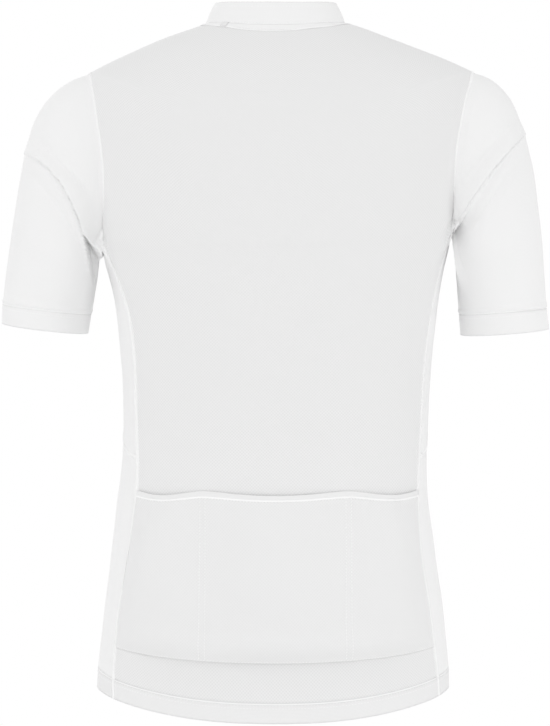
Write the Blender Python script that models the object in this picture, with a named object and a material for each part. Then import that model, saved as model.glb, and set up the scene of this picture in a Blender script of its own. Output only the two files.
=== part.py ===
"""A short-sleeved cycling jersey, filled out as if worn, with nobody in it.

The front faces -Y, the back +Y and +Z is up. The wearer's left is +X. The origin is the middle of
the neck, level with the inner ends of the shoulder seams, where the wearer's neck and shoulders
hold the jersey. Sizes are in millimetres up to the last step, which writes metres.

The cloth is one surface, cut into the pieces that are sewn together. Rows run round the body from
the hem to the neck. A row is two quarter ovals on each side, one for the back and one for the front.
Every piece is a grid of points on that surface, and becomes a wall by moving its points out and in.
"""

import math
from types import SimpleNamespace

import bmesh
import bpy
import numpy as np
from mathutils import Matrix, Vector

MM = 0.001

# Driving sizes
CLOTH = 1.3                # wall of the knitted cloth
SEAM_GAP = 0.3             # between two pieces that are sewn together
SHARP_ANGLE = 40.0         # edges that bend more than this are shaded sharp
SHARPEST = 0.3             # limit on how far a wall's corner reaches into a sharp seam
ARMHOLE_EASE = 0.2         # more than that where a sleeve turns sharply away from the body
ROUNDNESS = 2.25           # 2 is a plain oval, more is squarer
BODY_SAG = 1.8             # how a row's height goes over from its side to its middle
SHOULDER_SAG = 2.6         # the same from the armpits up
ZIP_HALF_WIDTH = 7.0       # from the middle of the zip to the edge of the front
CHAIN_HALF_WIDTH = 2.8
CHAIN_PROUD = 1.6          # how far the zip's chain stands out of the middle of the tape
ARMPIT_LEFT = -225.0
ARMPIT_RIGHT = -211.0
INSERT_END = -430.0        # lower end of the underarm insert
POCKET_MOUTH = -463.0
POCKET_BAND_END = -469.0
POCKET_BOTTOM = -614.0
DIVIDER_X = 70.0           # stitched lines between the three pockets
POCKET_STAND_OFF = 1.9     # middle of the pocket cloth from the middle of the back, where stitched
POCKET_GAPE = 10.0         # more than that at the mouth of a pocket
POCKET_FLAT = 0.7          # below 1 the bulge is flatter in its middle, across the pocket
POCKET_FILL = 1.25         # how soon the bulge reaches its full height, up the pocket
POCKET_RISE = 0.8          # below 1 the bulge rises faster from the pocket's bottom
TIP_LEFT = -49.0           # outer ends of the shoulder seams
TIP_RIGHT = -47.4

# Steps of the grids
BACK_COLUMNS = 20
FRONT_COLUMNS = 10         # half of them between the side edge and the corner of the chest
CHEST_CORNER = -45.0       # angle round the row
INSERT_COLUMNS = 4
ARMHOLE_STEPS = 10
SHOULDER_WIDTHS = (0.83, 0.65, 0.48, 0.31, 0.15, 0.0)  # from the neck (0) to the tip (1)
HEM_ROWS = (-660.0, -651.0, -642.0)
LOWER_ROWS = (-642.0, -628.0, -614.0, -590.0, -565.0, -540.0, -515.0, -492.0, -469.0, -463.0,
              -446.0, -431.5)
UPPER_ROWS = (-430.0, -425.0, -418.0, -408.0, -390.0, -365.0, -335.0, -300.0, -270.0, -244.0, -225.0)


class Table:
    """Columns of numbers against a first column, joined by smooth curves."""

    def __init__(self, names, *rows):
        data = np.array(sorted(rows), float)
        self.names = names.split()[1:]
        self.keys = data[:, 0]
        self.values = data[:, 1:]
        self.slopes = np.gradient(self.values, self.keys, axis=0)

    def at(self, key):
        """The columns' values at one place along the first column."""
        key = min(max(key, self.keys[0]), self.keys[-1])
        i = min(max(int(np.searchsorted(self.keys, key)) - 1, 0), len(self.keys) - 2)
        span = self.keys[i + 1] - self.keys[i]
        t = (key - self.keys[i]) / span
        rise = 3 * t ** 2 - 2 * t ** 3
        mixed = (self.values[i] * (1 - rise) + self.values[i + 1] * rise
                 + self.slopes[i] * span * (t ** 3 - 2 * t ** 2 + t)
                 + self.slopes[i + 1] * span * (t ** 3 - t ** 2))
        return SimpleNamespace(**dict(zip(self.names, mixed)))


# The body below the armpits, against the height of the side: half widths, depths of back and
# front from the middle, and how much lower the middle of the back and of the front hang.
BODY = Table(
    "side_z left right back front back_drop front_drop",
    (-660, 177.5, 172.5, 107, 120, 27, -15),
    (-640, 176.6, 172.0, 105, 119, 27, -14),
    (-614, 173.6, 169.6, 107, 118, 15, -12),
    (-560, 167.3, 163.5, 103, 114, 8, -8),
    (-510, 161.0, 156.2, 93, 110, 3, -3),
    (-470, 156.8, 151.6, 88, 108, 0, 0),
    (-430, 152.4, 150.5, 87, 109, 0, 0),
    (-385, 151.5, 152.6, 92, 114, 0, 0),
    (-335, 153.7, 156.2, 99, 120, 0, 0),
    (-290, 158.0, 161.6, 105, 124, 0, 0),
    (-255, 164.8, 167.6, 108, 125, 0, 0),
    (-225, 173.5, 176.0, 110, 124, 0, 0),
)

# Seams of the body below the armpits: how far in from the side the back side seams lie, and the
# angles round the row of the inserts' front edges.
SEAMS = Table(
    "side_z left_inset right_inset left_front right_front",
    (-660, 18.5, 12.0, 0, 0),
    (-600, 16.0, 14.0, 0, 0),
    (-550, 17.5, 15.5, 0, 0),
    (-500, 19.0, 14.0, 0, 0),
    (-460, 19.5, 10.5, 30, 24),
    (-430, 16.5, 9.0, 24, 16),
    (-424, 16.0, 8.9, 14, 9),
    (-408, 14.8, 8.8, -1, -3),
    (-380, 14.5, 8.8, -11, -12),
    (-330, 14.8, 8.2, -19, -19),
    (-280, 13.0, 6.2, -21, -21),
    (-250, 9.5, 4.6, -16, -16),
    (-225, 1.0, 1.0, -12, -12),
)

# The armhole against the way round it, from the armpit (0) to the shoulder (180): across on the
# left and right behind and in front, how far the seam lies behind and in front of the middle,
# and the row that runs on from it.
ARMHOLE = Table(
    "turn left right left_front right_front behind before back front back_z front_z",
    (0, 173.5, 176.0, 173.0, 175.5, 12, 20, 111, 124, -225, -225),
    (30, 171.6, 175.4, 169.0, 172.0, 35, 36, 112, 123, -216, -214),
    (60, 169.0, 175.0, 164.0, 169.0, 51, 49, 112, 122, -193, -191),
    (90, 169.8, 177.6, 164.0, 171.0, 57, 57, 111, 119, -160, -162),
    (120, 175.6, 184.6, 173.0, 182.0, 52, 52, 109, 116, -125, -134),
    (150, 182.2, 193.0, 183.5, 194.0, 33, 32, 106, 112, -97, -114),
    (180, 185.0, 196.0, 185.0, 196.0, 0, 0, 103, 109, -84, -106),
)

# The shoulders against the way from the neck (0) to the tip (1).
SHOULDER = Table(
    "way left_x left_z right_x right_z back front back_z front_z",
    (0.00, 74.0, -1.5, 74.0, -0.5, 59, 79, -11.5, -82),
    (0.18, 95.0, -9.0, 96.0, -8.0, 72, 88, -25, -86),
    (0.45, 125.5, -21.0, 128.0, -20.0, 87, 98, -45, -92),
    (0.73, 155.8, -34.8, 162.0, -33.0, 97, 105, -65, -99),
    (1.00, 185.0, -49.0, 196.0, -47.4, 103, 109, -84, -106),
)

# The collar against the way up it, from the neck seam (0) to the top (1).
COLLAR = Table(
    "way side side_z back back_z front front_z",
    (0.0, 69.5, 0.0, 55.0, -5.4, 76.0, -76.0),
    (0.5, 65.5, 11.0, 51.5, 6.5, 76.5, -57.0),
    (1.0, 60.6, 20.5, 47.5, 17.6, 75.5, -38.0),
)

# The sleeves against the way down them: outer and inner edge, seen from behind, then the middle
# and half depth front to back, how far the ring has left the armhole's shape, and its lean.
SLEEVE_NAMES = "way outer_x outer_z inner_x inner_z middle depth round lean"
SLEEVES = {
    1: Table(
        SLEEVE_NAMES,
        (0.0, 185.0, -49.0, 173.5, -225.0, 0, 57, 0.0, 0.0),
        (1.0, 208.0, -59.5, 176.6, -233.0, 0, 59, 0.4, 0.0),
        (2.0, 228.0, -76.5, 177.4, -237.0, -1, 61, 0.8, 0.03),
        (3.0, 241.5, -99.0, 178.2, -242.0, -3, 61, 1.0, 0.06),
        (4.0, 250.0, -127.0, 179.0, -248.5, -6, 60, 1.0, 0.09),
        (5.0, 256.6, -160.0, 180.0, -257.0, -9, 58, 1.0, 0.10),
        (6.0, 262.2, -197.0, 181.8, -267.5, -12, 56, 1.0, 0.09),
        (7.0, 268.0, -237.0, 183.7, -278.5, -15, 53, 1.0, 0.07),
        (8.0, 273.4, -278.2, 186.0, -288.7, -18, 50, 1.0, 0.05),
        (9.0, 274.3, -297.5, 189.0, -307.7, -20, 49, 1.0, 0.07),
    ),
    -1: Table(
        SLEEVE_NAMES,
        (0.0, 196.0, -47.4, 176.0, -211.0, 0, 57, 0.0, 0.0),
        (1.0, 217.0, -57.0, 179.0, -219.0, 0, 59, 0.4, 0.0),
        (2.0, 233.5, -74.0, 179.6, -224.5, -1, 61, 0.8, 0.03),
        (3.0, 244.6, -97.5, 180.2, -231.0, -3, 61, 1.0, 0.06),
        (4.0, 252.0, -121.0, 180.8, -239.0, -6, 60, 1.0, 0.09),
        (5.0, 258.2, -149.0, 181.7, -248.0, -9, 58, 1.0, 0.10),
        (6.0, 262.8, -183.0, 182.8, -260.0, -12, 56, 1.0, 0.09),
        (7.0, 267.4, -225.0, 183.9, -273.0, -15, 53, 1.0, 0.07),
        (8.0, 271.6, -282.0, 185.4, -288.7, -18, 50, 1.0, 0.05),
        (9.0, 274.2, -303.0, 187.0, -309.6, -20, 49, 1.0, 0.07),
    ),
}
SLEEVE_RINGS = (0.0, 1.0, 1.6, 2.2, 2.8, 3.4, 4.0, 4.6, 5.3, 6.1, 7.0, 8.0)
CUFF_RINGS = (8.0, 8.5, 9.0)

FOLD_STEPS = 24            # a fold's line is followed in this many steps
FOLD_START = 0.12          # where its rise and fall begins, as a share of a half wave
FOLD_LENGTH = 0.8          # the share of the half wave that it covers

# Drag folds of the sleeves, seen from behind: two ends and a middle across and in height, the
# half width, and how far the cloth stands out (or is drawn in) along the fold.
FOLD_NAMES = "side face x1 z1 x2 z2 x3 z3 width out"
SLEEVE_FOLDS = [dict(zip(FOLD_NAMES.split(), row)) for row in (
    (1, 1, 244, -126, 205, -157, 176, -224, 10, 5.5),
    (1, 1, 240, -118, 214, -130, 185, -170, 8, -3.5),
    (1, 1, 250, -142, 212, -186, 184, -248, 9, -3.0),
    (1, -1, 242, -123, 205, -160, 178, -224, 11, 4.5),
    (1, -1, 248, -142, 212, -184, 184, -246, 9, -3.0),
    (-1, 1, 242, -108, 207, -147, 177, -212, 10, 5.5),
    (-1, 1, 236, -105, 212, -126, 184, -166, 8, -3.5),
    (-1, 1, 250, -130, 212, -176, 184, -234, 9, -3.0),
    (-1, -1, 241, -111, 206, -152, 179, -214, 11, 4.5),
    (-1, -1, 248, -132, 212, -176, 186, -232, 9, -3.0),
)]


# ---------------------------------------------------------------- rows round the body

def oval_angle(across, half_width):
    """The angle, in degrees, at which a quarter oval is that far across."""
    share = min(max(across / half_width, 0.0), 1.0)
    return math.degrees(math.acos(share ** (ROUNDNESS / 2)))


def oval_width(across, off_middle, depth):
    """The half width of the oval that passes through one point."""
    return across / (1 - (off_middle / depth) ** ROUNDNESS) ** (1 / ROUNDNESS)


def row(here, back_z, front_z, power, left, right):
    """One row round the body: its depths, heights and two sides, 1 on the left, -1 on the right."""
    return SimpleNamespace(back=here.back, front=here.front, back_z=back_z, front_z=front_z,
                           power=power, sides={1: left, -1: right})


def row_side(z, back_width, front_width, back_edge=0.0, front_edge=0.0):
    """One side of a row: its height, its half widths and where its cloth begins."""
    return SimpleNamespace(z=z, back_width=back_width, front_width=front_width,
                           back_edge=back_edge, front_edge=front_edge)


def body_row(z):
    """A row below the armpits. The right side climbs to the higher right armpit."""
    here = BODY.at(z)
    climb = max(z - INSERT_END, 0.0) / (ARMPIT_LEFT - INSERT_END)
    right_z = z + (ARMPIT_RIGHT - ARMPIT_LEFT) * climb
    return row(here, z - here.back_drop, z - here.front_drop, BODY_SAG,
               row_side(z, here.left, here.left),
               row_side(right_z, here.right, here.right))


def armhole_row(turn):
    """A row that runs from armhole to armhole."""
    here = ARMHOLE.at(turn)
    rise = (1 - math.cos(math.radians(turn))) / 2
    sides = [row_side(low + (high - low) * rise,
                      oval_width(behind_x, here.behind, here.back),
                      oval_width(front_x, here.before, here.front),
                      here.behind, here.before)
             for behind_x, front_x, low, high in (
                 (here.left, here.left_front, ARMPIT_LEFT, TIP_LEFT),
                 (here.right, here.right_front, ARMPIT_RIGHT, TIP_RIGHT))]
    return row(here, here.back_z, here.front_z, SHOULDER_SAG, *sides)


def shoulder_row(way):
    """A row that runs from one shoulder seam to the other."""
    here = SHOULDER.at(way)
    return row(here, here.back_z, here.front_z, SHOULDER_SAG,
               row_side(here.left_z, here.left_x, here.left_x),
               row_side(here.right_z, here.right_x, here.right_x))


def collar_row(way):
    """A row round the collar."""
    here = COLLAR.at(way)
    return row(here, here.back_z, here.front_z, SHOULDER_SAG,
               row_side(here.side_z, here.side, here.side),
               row_side(here.side_z, here.side, here.side))


def row_point(line, side, angle):
    """A point on a row: 0 is the side, 90 the middle of the back, -90 that of the front."""
    here = line.sides[side]
    if angle >= 0:
        width, depth, middle_z, edge = here.back_width, line.back, line.back_z, here.back_edge
    else:
        width, depth, middle_z, edge = here.front_width, -line.front, line.front_z, here.front_edge
    turn = math.radians(min(abs(angle), 90.0))
    across = width * math.cos(turn) ** (2 / ROUNDNESS)
    deep = math.sin(turn) ** (2 / ROUNDNESS)
    start = abs(edge / depth)
    sag = max((deep - start) / (1 - start), 0.0) ** line.power
    return np.array((side * across, depth * deep, here.z + (middle_z - here.z) * sag))


def seam_angle(z, side):
    """Where the back side seam crosses a row below the armpits."""
    seams, here = SEAMS.at(z), BODY.at(z)
    width = here.left if side > 0 else here.right
    inset = seams.left_inset if side > 0 else seams.right_inset
    if z >= ARMPIT_LEFT:
        return edge_angle(armhole_row(0), side, 1)
    return oval_angle(width - inset, width)


def insert_angle(z, side):
    """Where the front edge of the underarm insert crosses a row."""
    if z >= ARMPIT_LEFT:
        return edge_angle(armhole_row(0), side, -1)
    return SEAMS.at(z).left_front if side > 0 else SEAMS.at(z).right_front


def edge_angle(line, side, face):
    """The angle at which a row leaves the armhole, behind (face 1) or in front (-1)."""
    here = line.sides[side]
    edge, depth = (here.back_edge, line.back) if face > 0 else (here.front_edge, line.front)
    return face * math.degrees(math.asin((edge / depth) ** (ROUNDNESS / 2)))


def zip_angle(line, side):
    """The angle at which a row meets the zip."""
    return -oval_angle(ZIP_HALF_WIDTH, line.sides[side].front_width)


ARMHOLE_TURNS = [180.0 * i / ARMHOLE_STEPS for i in range(ARMHOLE_STEPS + 1)]


def panel_rows():
    """All rows from the hem band to the neck band, each with the kind of edge that it has."""
    rows = [("low", z, body_row(z)) for z in LOWER_ROWS]
    rows += [("insert", z, body_row(z)) for z in UPPER_ROWS[:-1]]
    rows += [("armhole", turn, armhole_row(turn)) for turn in ARMHOLE_TURNS]
    rows += [("shoulder", way, shoulder_row(way)) for way in SHOULDER_WIDTHS]
    return rows


def back_edge(kind, key, line, side):
    """The angle of the back's side edge on a row."""
    if kind in ("low", "insert"):
        return seam_angle(key, side)
    return edge_angle(line, side, 1)


def front_edge(kind, key, line, side):
    """The angle of the front's side edge on a row."""
    if kind == "low":
        return seam_angle(key, side)
    if kind == "insert":
        return insert_angle(key, side)
    return edge_angle(line, side, -1)


# ---------------------------------------------------------------- grids of the pieces

def back_line(line, left, right, columns=BACK_COLUMNS):
    """Points across the back from the left edge's angle to the right edge's."""
    half = columns // 2
    points = [row_point(line, 1, left + (90 - left) * i / half) for i in range(half)]
    points += [row_point(line, -1, 90 - (90 - right) * i / half) for i in range(half + 1)]
    return points


def front_line(line, side, edge, columns=FRONT_COLUMNS):
    """Points across one front, from its side edge to the zip."""
    half = columns // 2
    angles = np.interp(range(columns + 1), (0, half, columns),
                       (edge, CHEST_CORNER, zip_angle(line, side)))
    return [row_point(line, side, angle) for angle in angles]


def zip_line(line, side):
    """Points across one zip tape, from the middle out."""
    width = line.sides[side].front_width
    return [row_point(line, side, -oval_angle(across, width))
            for across in (0.0, CHAIN_HALF_WIDTH, ZIP_HALF_WIDTH)]


def neck_line(line):
    """Points round the neck, from the left of the zip by the back to its right."""
    left = front_line(line, 1, 0.0)[::-1]
    right = front_line(line, -1, 0.0)
    return left[:-1] + back_line(line, 0.0, 0.0) + right[1:]


def body_grids():
    """The grids of the pieces round the body and neck."""
    rows = panel_rows()
    hems = [body_row(z) for z in HEM_ROWS]
    neck = [shoulder_row(0.0), collar_row(0.0)]
    collar = [collar_row(way) for way in (0.0, 0.25, 0.5, 0.75, 1.0)]
    grids = {
        "hem_back": [back_line(line, seam_angle(z, 1), seam_angle(z, -1))
                     for z, line in zip(HEM_ROWS, hems)],
        "back_panel": [back_line(line, back_edge(kind, key, line, 1), back_edge(kind, key, line, -1))
                       for kind, key, line in rows],
        "neck_band": [neck_line(line) for line in neck],
        "collar": [neck_line(line) for line in collar],
    }
    for side, name in ((1, "left"), (-1, "right")):
        grids["hem_front_" + name] = [front_line(line, side, seam_angle(z, side))
                                      for z, line in zip(HEM_ROWS, hems)]
        grids["front_" + name] = [front_line(line, side, front_edge(kind, key, line, side))
                                  for kind, key, line in rows]
        grids["underarm_" + name] = [insert_line(z, side) for z in UPPER_ROWS]
        zips = hems[:-1] + [line for _, _, line in rows] + collar
        grids["zip_tape_" + name] = [zip_line(line, side) for line in zips]
    return {name: np.array(grid) for name, grid in grids.items()}


def insert_line(z, side):
    """Points across the underarm insert, from its front edge to its back one."""
    line = body_row(z) if z < ARMPIT_LEFT else armhole_row(0)
    low, high = insert_angle(z, side), seam_angle(z, side)
    return [row_point(line, side, low + (high - low) * i / INSERT_COLUMNS)
            for i in range(INSERT_COLUMNS + 1)]


def armhole_loop(side):
    """The armhole's points from the shoulder down the back, under the arm and up the front."""
    points = []
    for turn in ARMHOLE_TURNS[::-1]:
        line = armhole_row(turn)
        points.append(row_point(line, side, edge_angle(line, side, 1)))
    points += insert_line(ARMPIT_LEFT, side)[::-1][1:-1]
    for turn in ARMHOLE_TURNS[:-1]:
        line = armhole_row(turn)
        points.append(row_point(line, side, edge_angle(line, side, -1)))
    return np.array(points)


def fold_height(point, side):
    """How far the drag folds move a point of a sleeve out along its wall."""
    height = 0.0
    for fold in SLEEVE_FOLDS:
        if fold["side"] != side or fold["face"] * point[1] < 0:
            continue
        ends = [np.array((fold["x" + n], fold["z" + n])) for n in "123"]
        here = np.array((side * point[0], point[2]))
        nearest, place = math.inf, 0.0
        for step in range(FOLD_STEPS + 1):
            t = step / FOLD_STEPS
            on_fold = (1 - t) ** 2 * ends[0] + 2 * t * (1 - t) * ends[1] + t ** 2 * ends[2]
            gap = np.linalg.norm(here - on_fold)
            if gap < nearest:
                nearest, place = gap, t
        swell = math.sin(math.pi * (FOLD_START + FOLD_LENGTH * place))
        height += fold["out"] * swell * math.exp(-(nearest / fold["width"]) ** 2)
    return height


def sleeve_ring(side, way, loop):
    """One closed ring round a sleeve, as the armhole at first and then as an oval."""
    here = SLEEVES[side].at(way)
    first = SLEEVES[side].at(0.0)
    count = len(loop)
    points = []
    for i, start in enumerate(loop):
        along = (start - np.array((side * (first.outer_x + first.inner_x) / 2, 0,
                                   (first.outer_z + first.inner_z) / 2)))
        reach = np.array((side * (first.outer_x - first.inner_x) / 2, 0,
                          (first.outer_z - first.inner_z) / 2))
        up = along.dot(reach) / reach.dot(reach)
        deep = along[1] / first.depth
        aside = along - up * reach
        angle = 2 * math.pi * i / count
        oval_up = math.copysign(abs(math.cos(angle)) ** (2 / ROUNDNESS), math.cos(angle))
        oval_deep = math.copysign(abs(math.sin(angle)) ** (2 / ROUNDNESS), math.sin(angle))
        up += (oval_up - up) * here.round
        deep += (oval_deep - deep) * here.round
        x = (here.outer_x + here.inner_x) / 2 + up * (here.outer_x - here.inner_x) / 2
        z = (here.outer_z + here.inner_z) / 2 + up * (here.outer_z - here.inner_z) / 2
        y = here.middle + deep * here.depth
        point = np.array((side * x, y, z - here.lean * deep * here.depth))
        point[0] += aside[0] * (1 - here.round)
        point[2] += aside[2] * (1 - here.round)
        points.append(point)
    return points


def sleeve_grids():
    """The grids of the sleeves and cuffs, closed round the arm."""
    grids = {}
    for side, name in ((1, "left"), (-1, "right")):
        loop = armhole_loop(side)
        rings = [sleeve_ring(side, way, loop) for way in SLEEVE_RINGS]
        grids["sleeve_" + name] = folded(np.array(rings), side)
        grids["cuff_" + name] = np.array([sleeve_ring(side, way, loop) for way in CUFF_RINGS])
    return grids


def folded(grid, side):
    """A sleeve's grid with its drag folds, which fade out at both seams."""
    moved = grid.copy()
    normals = grid_normals(grid, True)
    last = len(grid) - 1
    for i in range(1, last):
        fade = min(i / 2, (last - i) / 2, 1.0)
        for j in range(grid.shape[1]):
            moved[i, j] += normals[i, j] * fold_height(grid[i, j], side) * fade
    return moved


# ---------------------------------------------------------------- walls

def grid_faces(grid, closed):
    """Corner indices of a grid's faces."""
    rows, columns = grid.shape[:2]
    return [((i, j), (i, (j + 1) % columns), (i + 1, (j + 1) % columns), (i + 1, j))
            for i in range(rows - 1) for j in range(columns if closed else columns - 1)]


def face_normals(grid, closed):
    """Each face with its normal, away from the middle of the body or the arm."""
    middle = grid.mean(axis=(0, 1))
    if not closed:
        middle[:2] = 0, 0
    found = []
    total = 0.0
    for corners in grid_faces(grid, closed):
        a, b, c, d = (grid[corner] for corner in corners)
        normal = np.cross(c - a, d - b)
        found.append((corners, normal))
        outward = (a + b + c + d) / 4 - middle
        total += normal.dot(outward)
    return [(corners, normal * math.copysign(1.0, total)) for corners, normal in found]


def grid_normals(grid, closed):
    """The outward direction at each point of one grid."""
    normals = np.zeros_like(grid)
    for corners, normal in face_normals(grid, closed):
        for corner in corners:
            normals[corner] += normal
    return normals / np.linalg.norm(normals, axis=2, keepdims=True)


def place_key(point):
    """A point as a key, so that pieces that share it find each other."""
    return tuple(int(round(value * 100)) for value in point)


def seam_normals(grids):
    """Outward directions at all points, shared by the pieces that meet at a seam.

    Their length is how much further a corner lies out than a flat wall's points.
    """
    sums, unit_normals = {}, {}
    for name, grid in grids.items():
        for corners, normal in face_normals(grid, is_tube(name)):
            unit = normal / np.linalg.norm(normal)
            for k, corner in enumerate(corners):
                here = grid[corner]
                one = grid[corners[(k + 1) % 4]] - here
                two = grid[corners[k - 1]] - here
                share = one.dot(two) / (np.linalg.norm(one) * np.linalg.norm(two))
                weight = math.acos(min(max(share, -1.0), 1.0))
                key = place_key(here)
                sums[key] = sums.get(key, 0) + unit * weight
                unit_normals.setdefault(key, []).append((unit, weight))
    directions = {}
    for key, total in sums.items():
        direction = total / np.linalg.norm(total)
        weights = sum(weight for _, weight in unit_normals[key])
        tilt = sum(max(unit.dot(direction), 0.0) * weight for unit, weight in unit_normals[key])
        directions[key] = direction / max(tilt / weights, SHARPEST)
    return directions


def is_tube(name):
    """Sleeves and cuffs close round the arm; the other pieces have side edges."""
    return name.startswith(("sleeve", "cuff"))


def parted(grid, normals, closed, first_ease=0.0):
    """The grid with its edges moved in by half the gap of a seam, its first row by some more."""
    moved = grid.copy()
    units = normals / np.linalg.norm(normals, axis=2, keepdims=True)

    def step(edge, inner, unit, distance=SEAM_GAP / 2):
        inward = inner - edge
        inward -= (inward * unit).sum(axis=-1, keepdims=True) * unit
        return inward / np.linalg.norm(inward, axis=-1, keepdims=True) * distance

    moved[0] += step(grid[0], grid[1], units[0], SEAM_GAP / 2 + first_ease)
    moved[-1] += step(grid[-1], grid[-2], units[-1])
    if not closed:
        moved[:, 0] += step(grid[:, 0], grid[:, 1], units[:, 0])
        moved[:, -1] += step(grid[:, -1], grid[:, -2], units[:, -1])
    return moved


def wall_object(name, outer, inner, closed, material):
    """A closed wall between an outer and an inner grid."""
    rows, columns = outer.shape[:2]
    mesh = bpy.data.meshes.new(name)
    shape = bmesh.new()
    skins = [[[shape.verts.new(Vector(point) * MM) for point in line] for line in grid]
             for grid in (outer, inner)]
    quads = grid_faces(outer, closed)
    for skin in skins:
        for corners in quads:
            shape.faces.new([skin[i][j] for i, j in corners])
    around = [(i, (i + 1) % columns) for i in range(columns if closed else columns - 1)]
    for end in (0, rows - 1):
        for i, k in around:
            shape.faces.new((skins[0][end][i], skins[0][end][k],
                             skins[1][end][k], skins[1][end][i]))
    if not closed:
        for end in (0, columns - 1):
            for i in range(rows - 1):
                shape.faces.new((skins[0][i][end], skins[0][i + 1][end],
                                 skins[1][i + 1][end], skins[1][i][end]))
    bmesh.ops.recalc_face_normals(shape, faces=shape.faces)
    if shape.calc_volume(signed=True) < 0:
        bmesh.ops.reverse_faces(shape, faces=shape.faces)
    bmesh.ops.triangulate(shape, faces=shape.faces)
    shape.to_mesh(mesh)
    shape.free()
    return finish_object(name, mesh, material)


def finish_object(name, mesh, material, at=(0, 0, 0)):
    """A smooth-shaded object with its material, at its place in millimetres."""
    mesh.shade_smooth()
    mesh.set_sharp_from_angle(angle=math.radians(SHARP_ANGLE))
    mesh.materials.append(material)
    piece = bpy.data.objects.new(name, mesh)
    piece.location = Vector(at) * MM
    bpy.context.collection.objects.link(piece)
    return piece


def material(name, colour, roughness, metallic=0.0):
    """A Principled material from its colour, roughness and metallic value."""
    made = bpy.data.materials.new(name)
    made.use_nodes = True
    shader = made.node_tree.nodes["Principled BSDF"]
    shader.inputs["Base Color"].default_value = (*colour, 1.0)
    shader.inputs["Roughness"].default_value = roughness
    shader.inputs["Metallic"].default_value = metallic
    return made


CLOTH_WHITE = (0.86, 0.87, 0.88)
MESH_WHITE = (0.80, 0.81, 0.83)


def make_cloth_pieces(grids, normals):
    """Each piece of the body, the sleeves and the collar as a wall."""
    for name, grid in grids.items():
        closed = is_tube(name)
        along = np.array([[normals[place_key(point)] for point in line] for line in grid])
        middle = parted(grid, along, closed, ARMHOLE_EASE if name.startswith("sleeve") else 0.0)
        outer = middle + along * CLOTH / 2
        inner = middle - along * CLOTH / 2
        if name.startswith("zip_tape"):
            outer[:, :2] = middle[:, :2] + along[:, :2] * CHAIN_PROUD
        colour = MESH_WHITE if name == "back_panel" else CLOTH_WHITE
        wall_object(name, outer, inner, closed, material(name, colour, 0.85))


# ---------------------------------------------------------------- pockets

def pocket_columns():
    """How far each column of the pocket cloth lies along the row, and how far it may bulge."""
    columns = []
    for first, last, steps in ((-1.0, -0.5, 6), (-0.5, 0.5, 8), (0.5, 1.0, 6)):
        for i in range(steps):
            share = i / steps
            columns.append((first + (last - first) * share, math.sin(math.pi * share) ** POCKET_FLAT))
    return columns + [(1.0, 0.0)]


def pocket_point(z, place):
    """A point of the back's surface under the pocket cloth. place -0.5 and 0.5 are the dividers."""
    line = body_row(z)
    side = 1 if place < 0 else -1
    width = line.sides[side].back_width
    divider = oval_angle(DIVIDER_X, width)
    edge = seam_angle(z, side)
    share = abs(place)
    if share >= 0.5:
        angle = divider + (edge - divider) * (share - 0.5) * 2
    else:
        angle = 90 + (divider - 90) * share * 2
    return row_point(line, side, angle)


def pocket_bulge(z):
    """How much of the full gape the pocket cloth has at a height."""
    if z <= POCKET_BOTTOM:
        return 0.0
    share = (z - POCKET_BOTTOM) / (POCKET_MOUTH - POCKET_BOTTOM)
    return math.sin(math.pi / 2 * min(share * POCKET_FILL, 1.0)) ** POCKET_RISE


def pocket_grid(heights):
    """The pocket cloth: the back's points, moved out and bulged between the stitched lines."""
    columns = pocket_columns()
    base = np.array([[pocket_point(z, place) for place, _ in columns] for z in heights])
    normals = grid_normals(base, False)
    moved = base.copy()
    for i, z in enumerate(heights):
        for j, (_, swell) in enumerate(columns):
            out = POCKET_STAND_OFF + POCKET_GAPE * swell * pocket_bulge(z)
            moved[i, j] += normals[i, j] * out
    return moved


def make_pockets():
    """The pocket panel and the elastic band along its mouths."""
    heights = (POCKET_BOTTOM, -600.0, -580.0, -555.0, -528.0, -500.0, POCKET_BAND_END, POCKET_MOUTH)
    whole = pocket_grid(heights)
    normals = grid_normals(whole, False)
    for name, part in (("pocket_panel", slice(0, -1)), ("pocket_band", slice(-2, None))):
        grid, along = whole[part], normals[part]
        middle = parted(grid, along, False)
        wall_object(name, middle + along * CLOTH / 2, middle - along * CLOTH / 2, False,
                    material(name, CLOTH_WHITE, 0.8))


# ---------------------------------------------------------------- zip slider and pull

SLIDER_Z = -50.0           # middle of the slider
SLIDER_SIZE = (8.4, 2.4, 11.0)
SLIDER_CLEAR = 0.4         # between the chain and the slider
CHAIN_STEPS = 20           # heights at which the chain's reach is measured
SLIDER_BEVEL = 0.15
PULL_BEVEL = 0.12
BRIDGE_WIDTH = 1.8
BRIDGE_HEIGHT = 7.0
BRIDGE_REACH = 4.2         # out from the slider's face
BRIDGE_BAR = 1.1
BRIDGE_SINK = 0.2          # how far its feet run into the slider and the bar
PULL_BAR = 1.3             # the pull's bar, which turns in the bridge
PULL_EYE = 6.4             # width of the pull's eye
PULL_EYE_LENGTH = 6.0
PULL_PLAY = 0.5            # between the eye's sides and the bridge
PULL_OVERLAP = 0.7         # how far the eye's sides run into the bar and the tab
PULL_LENGTH = 27.0


def add_block(shape, size, centre):
    """A box in a bmesh, in millimetres."""
    matrix = Matrix.Translation(Vector(centre) * MM) @ Matrix.Diagonal((*[s * MM for s in size], 1))
    return bmesh.ops.create_cube(shape, size=1.0, matrix=matrix)


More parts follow.
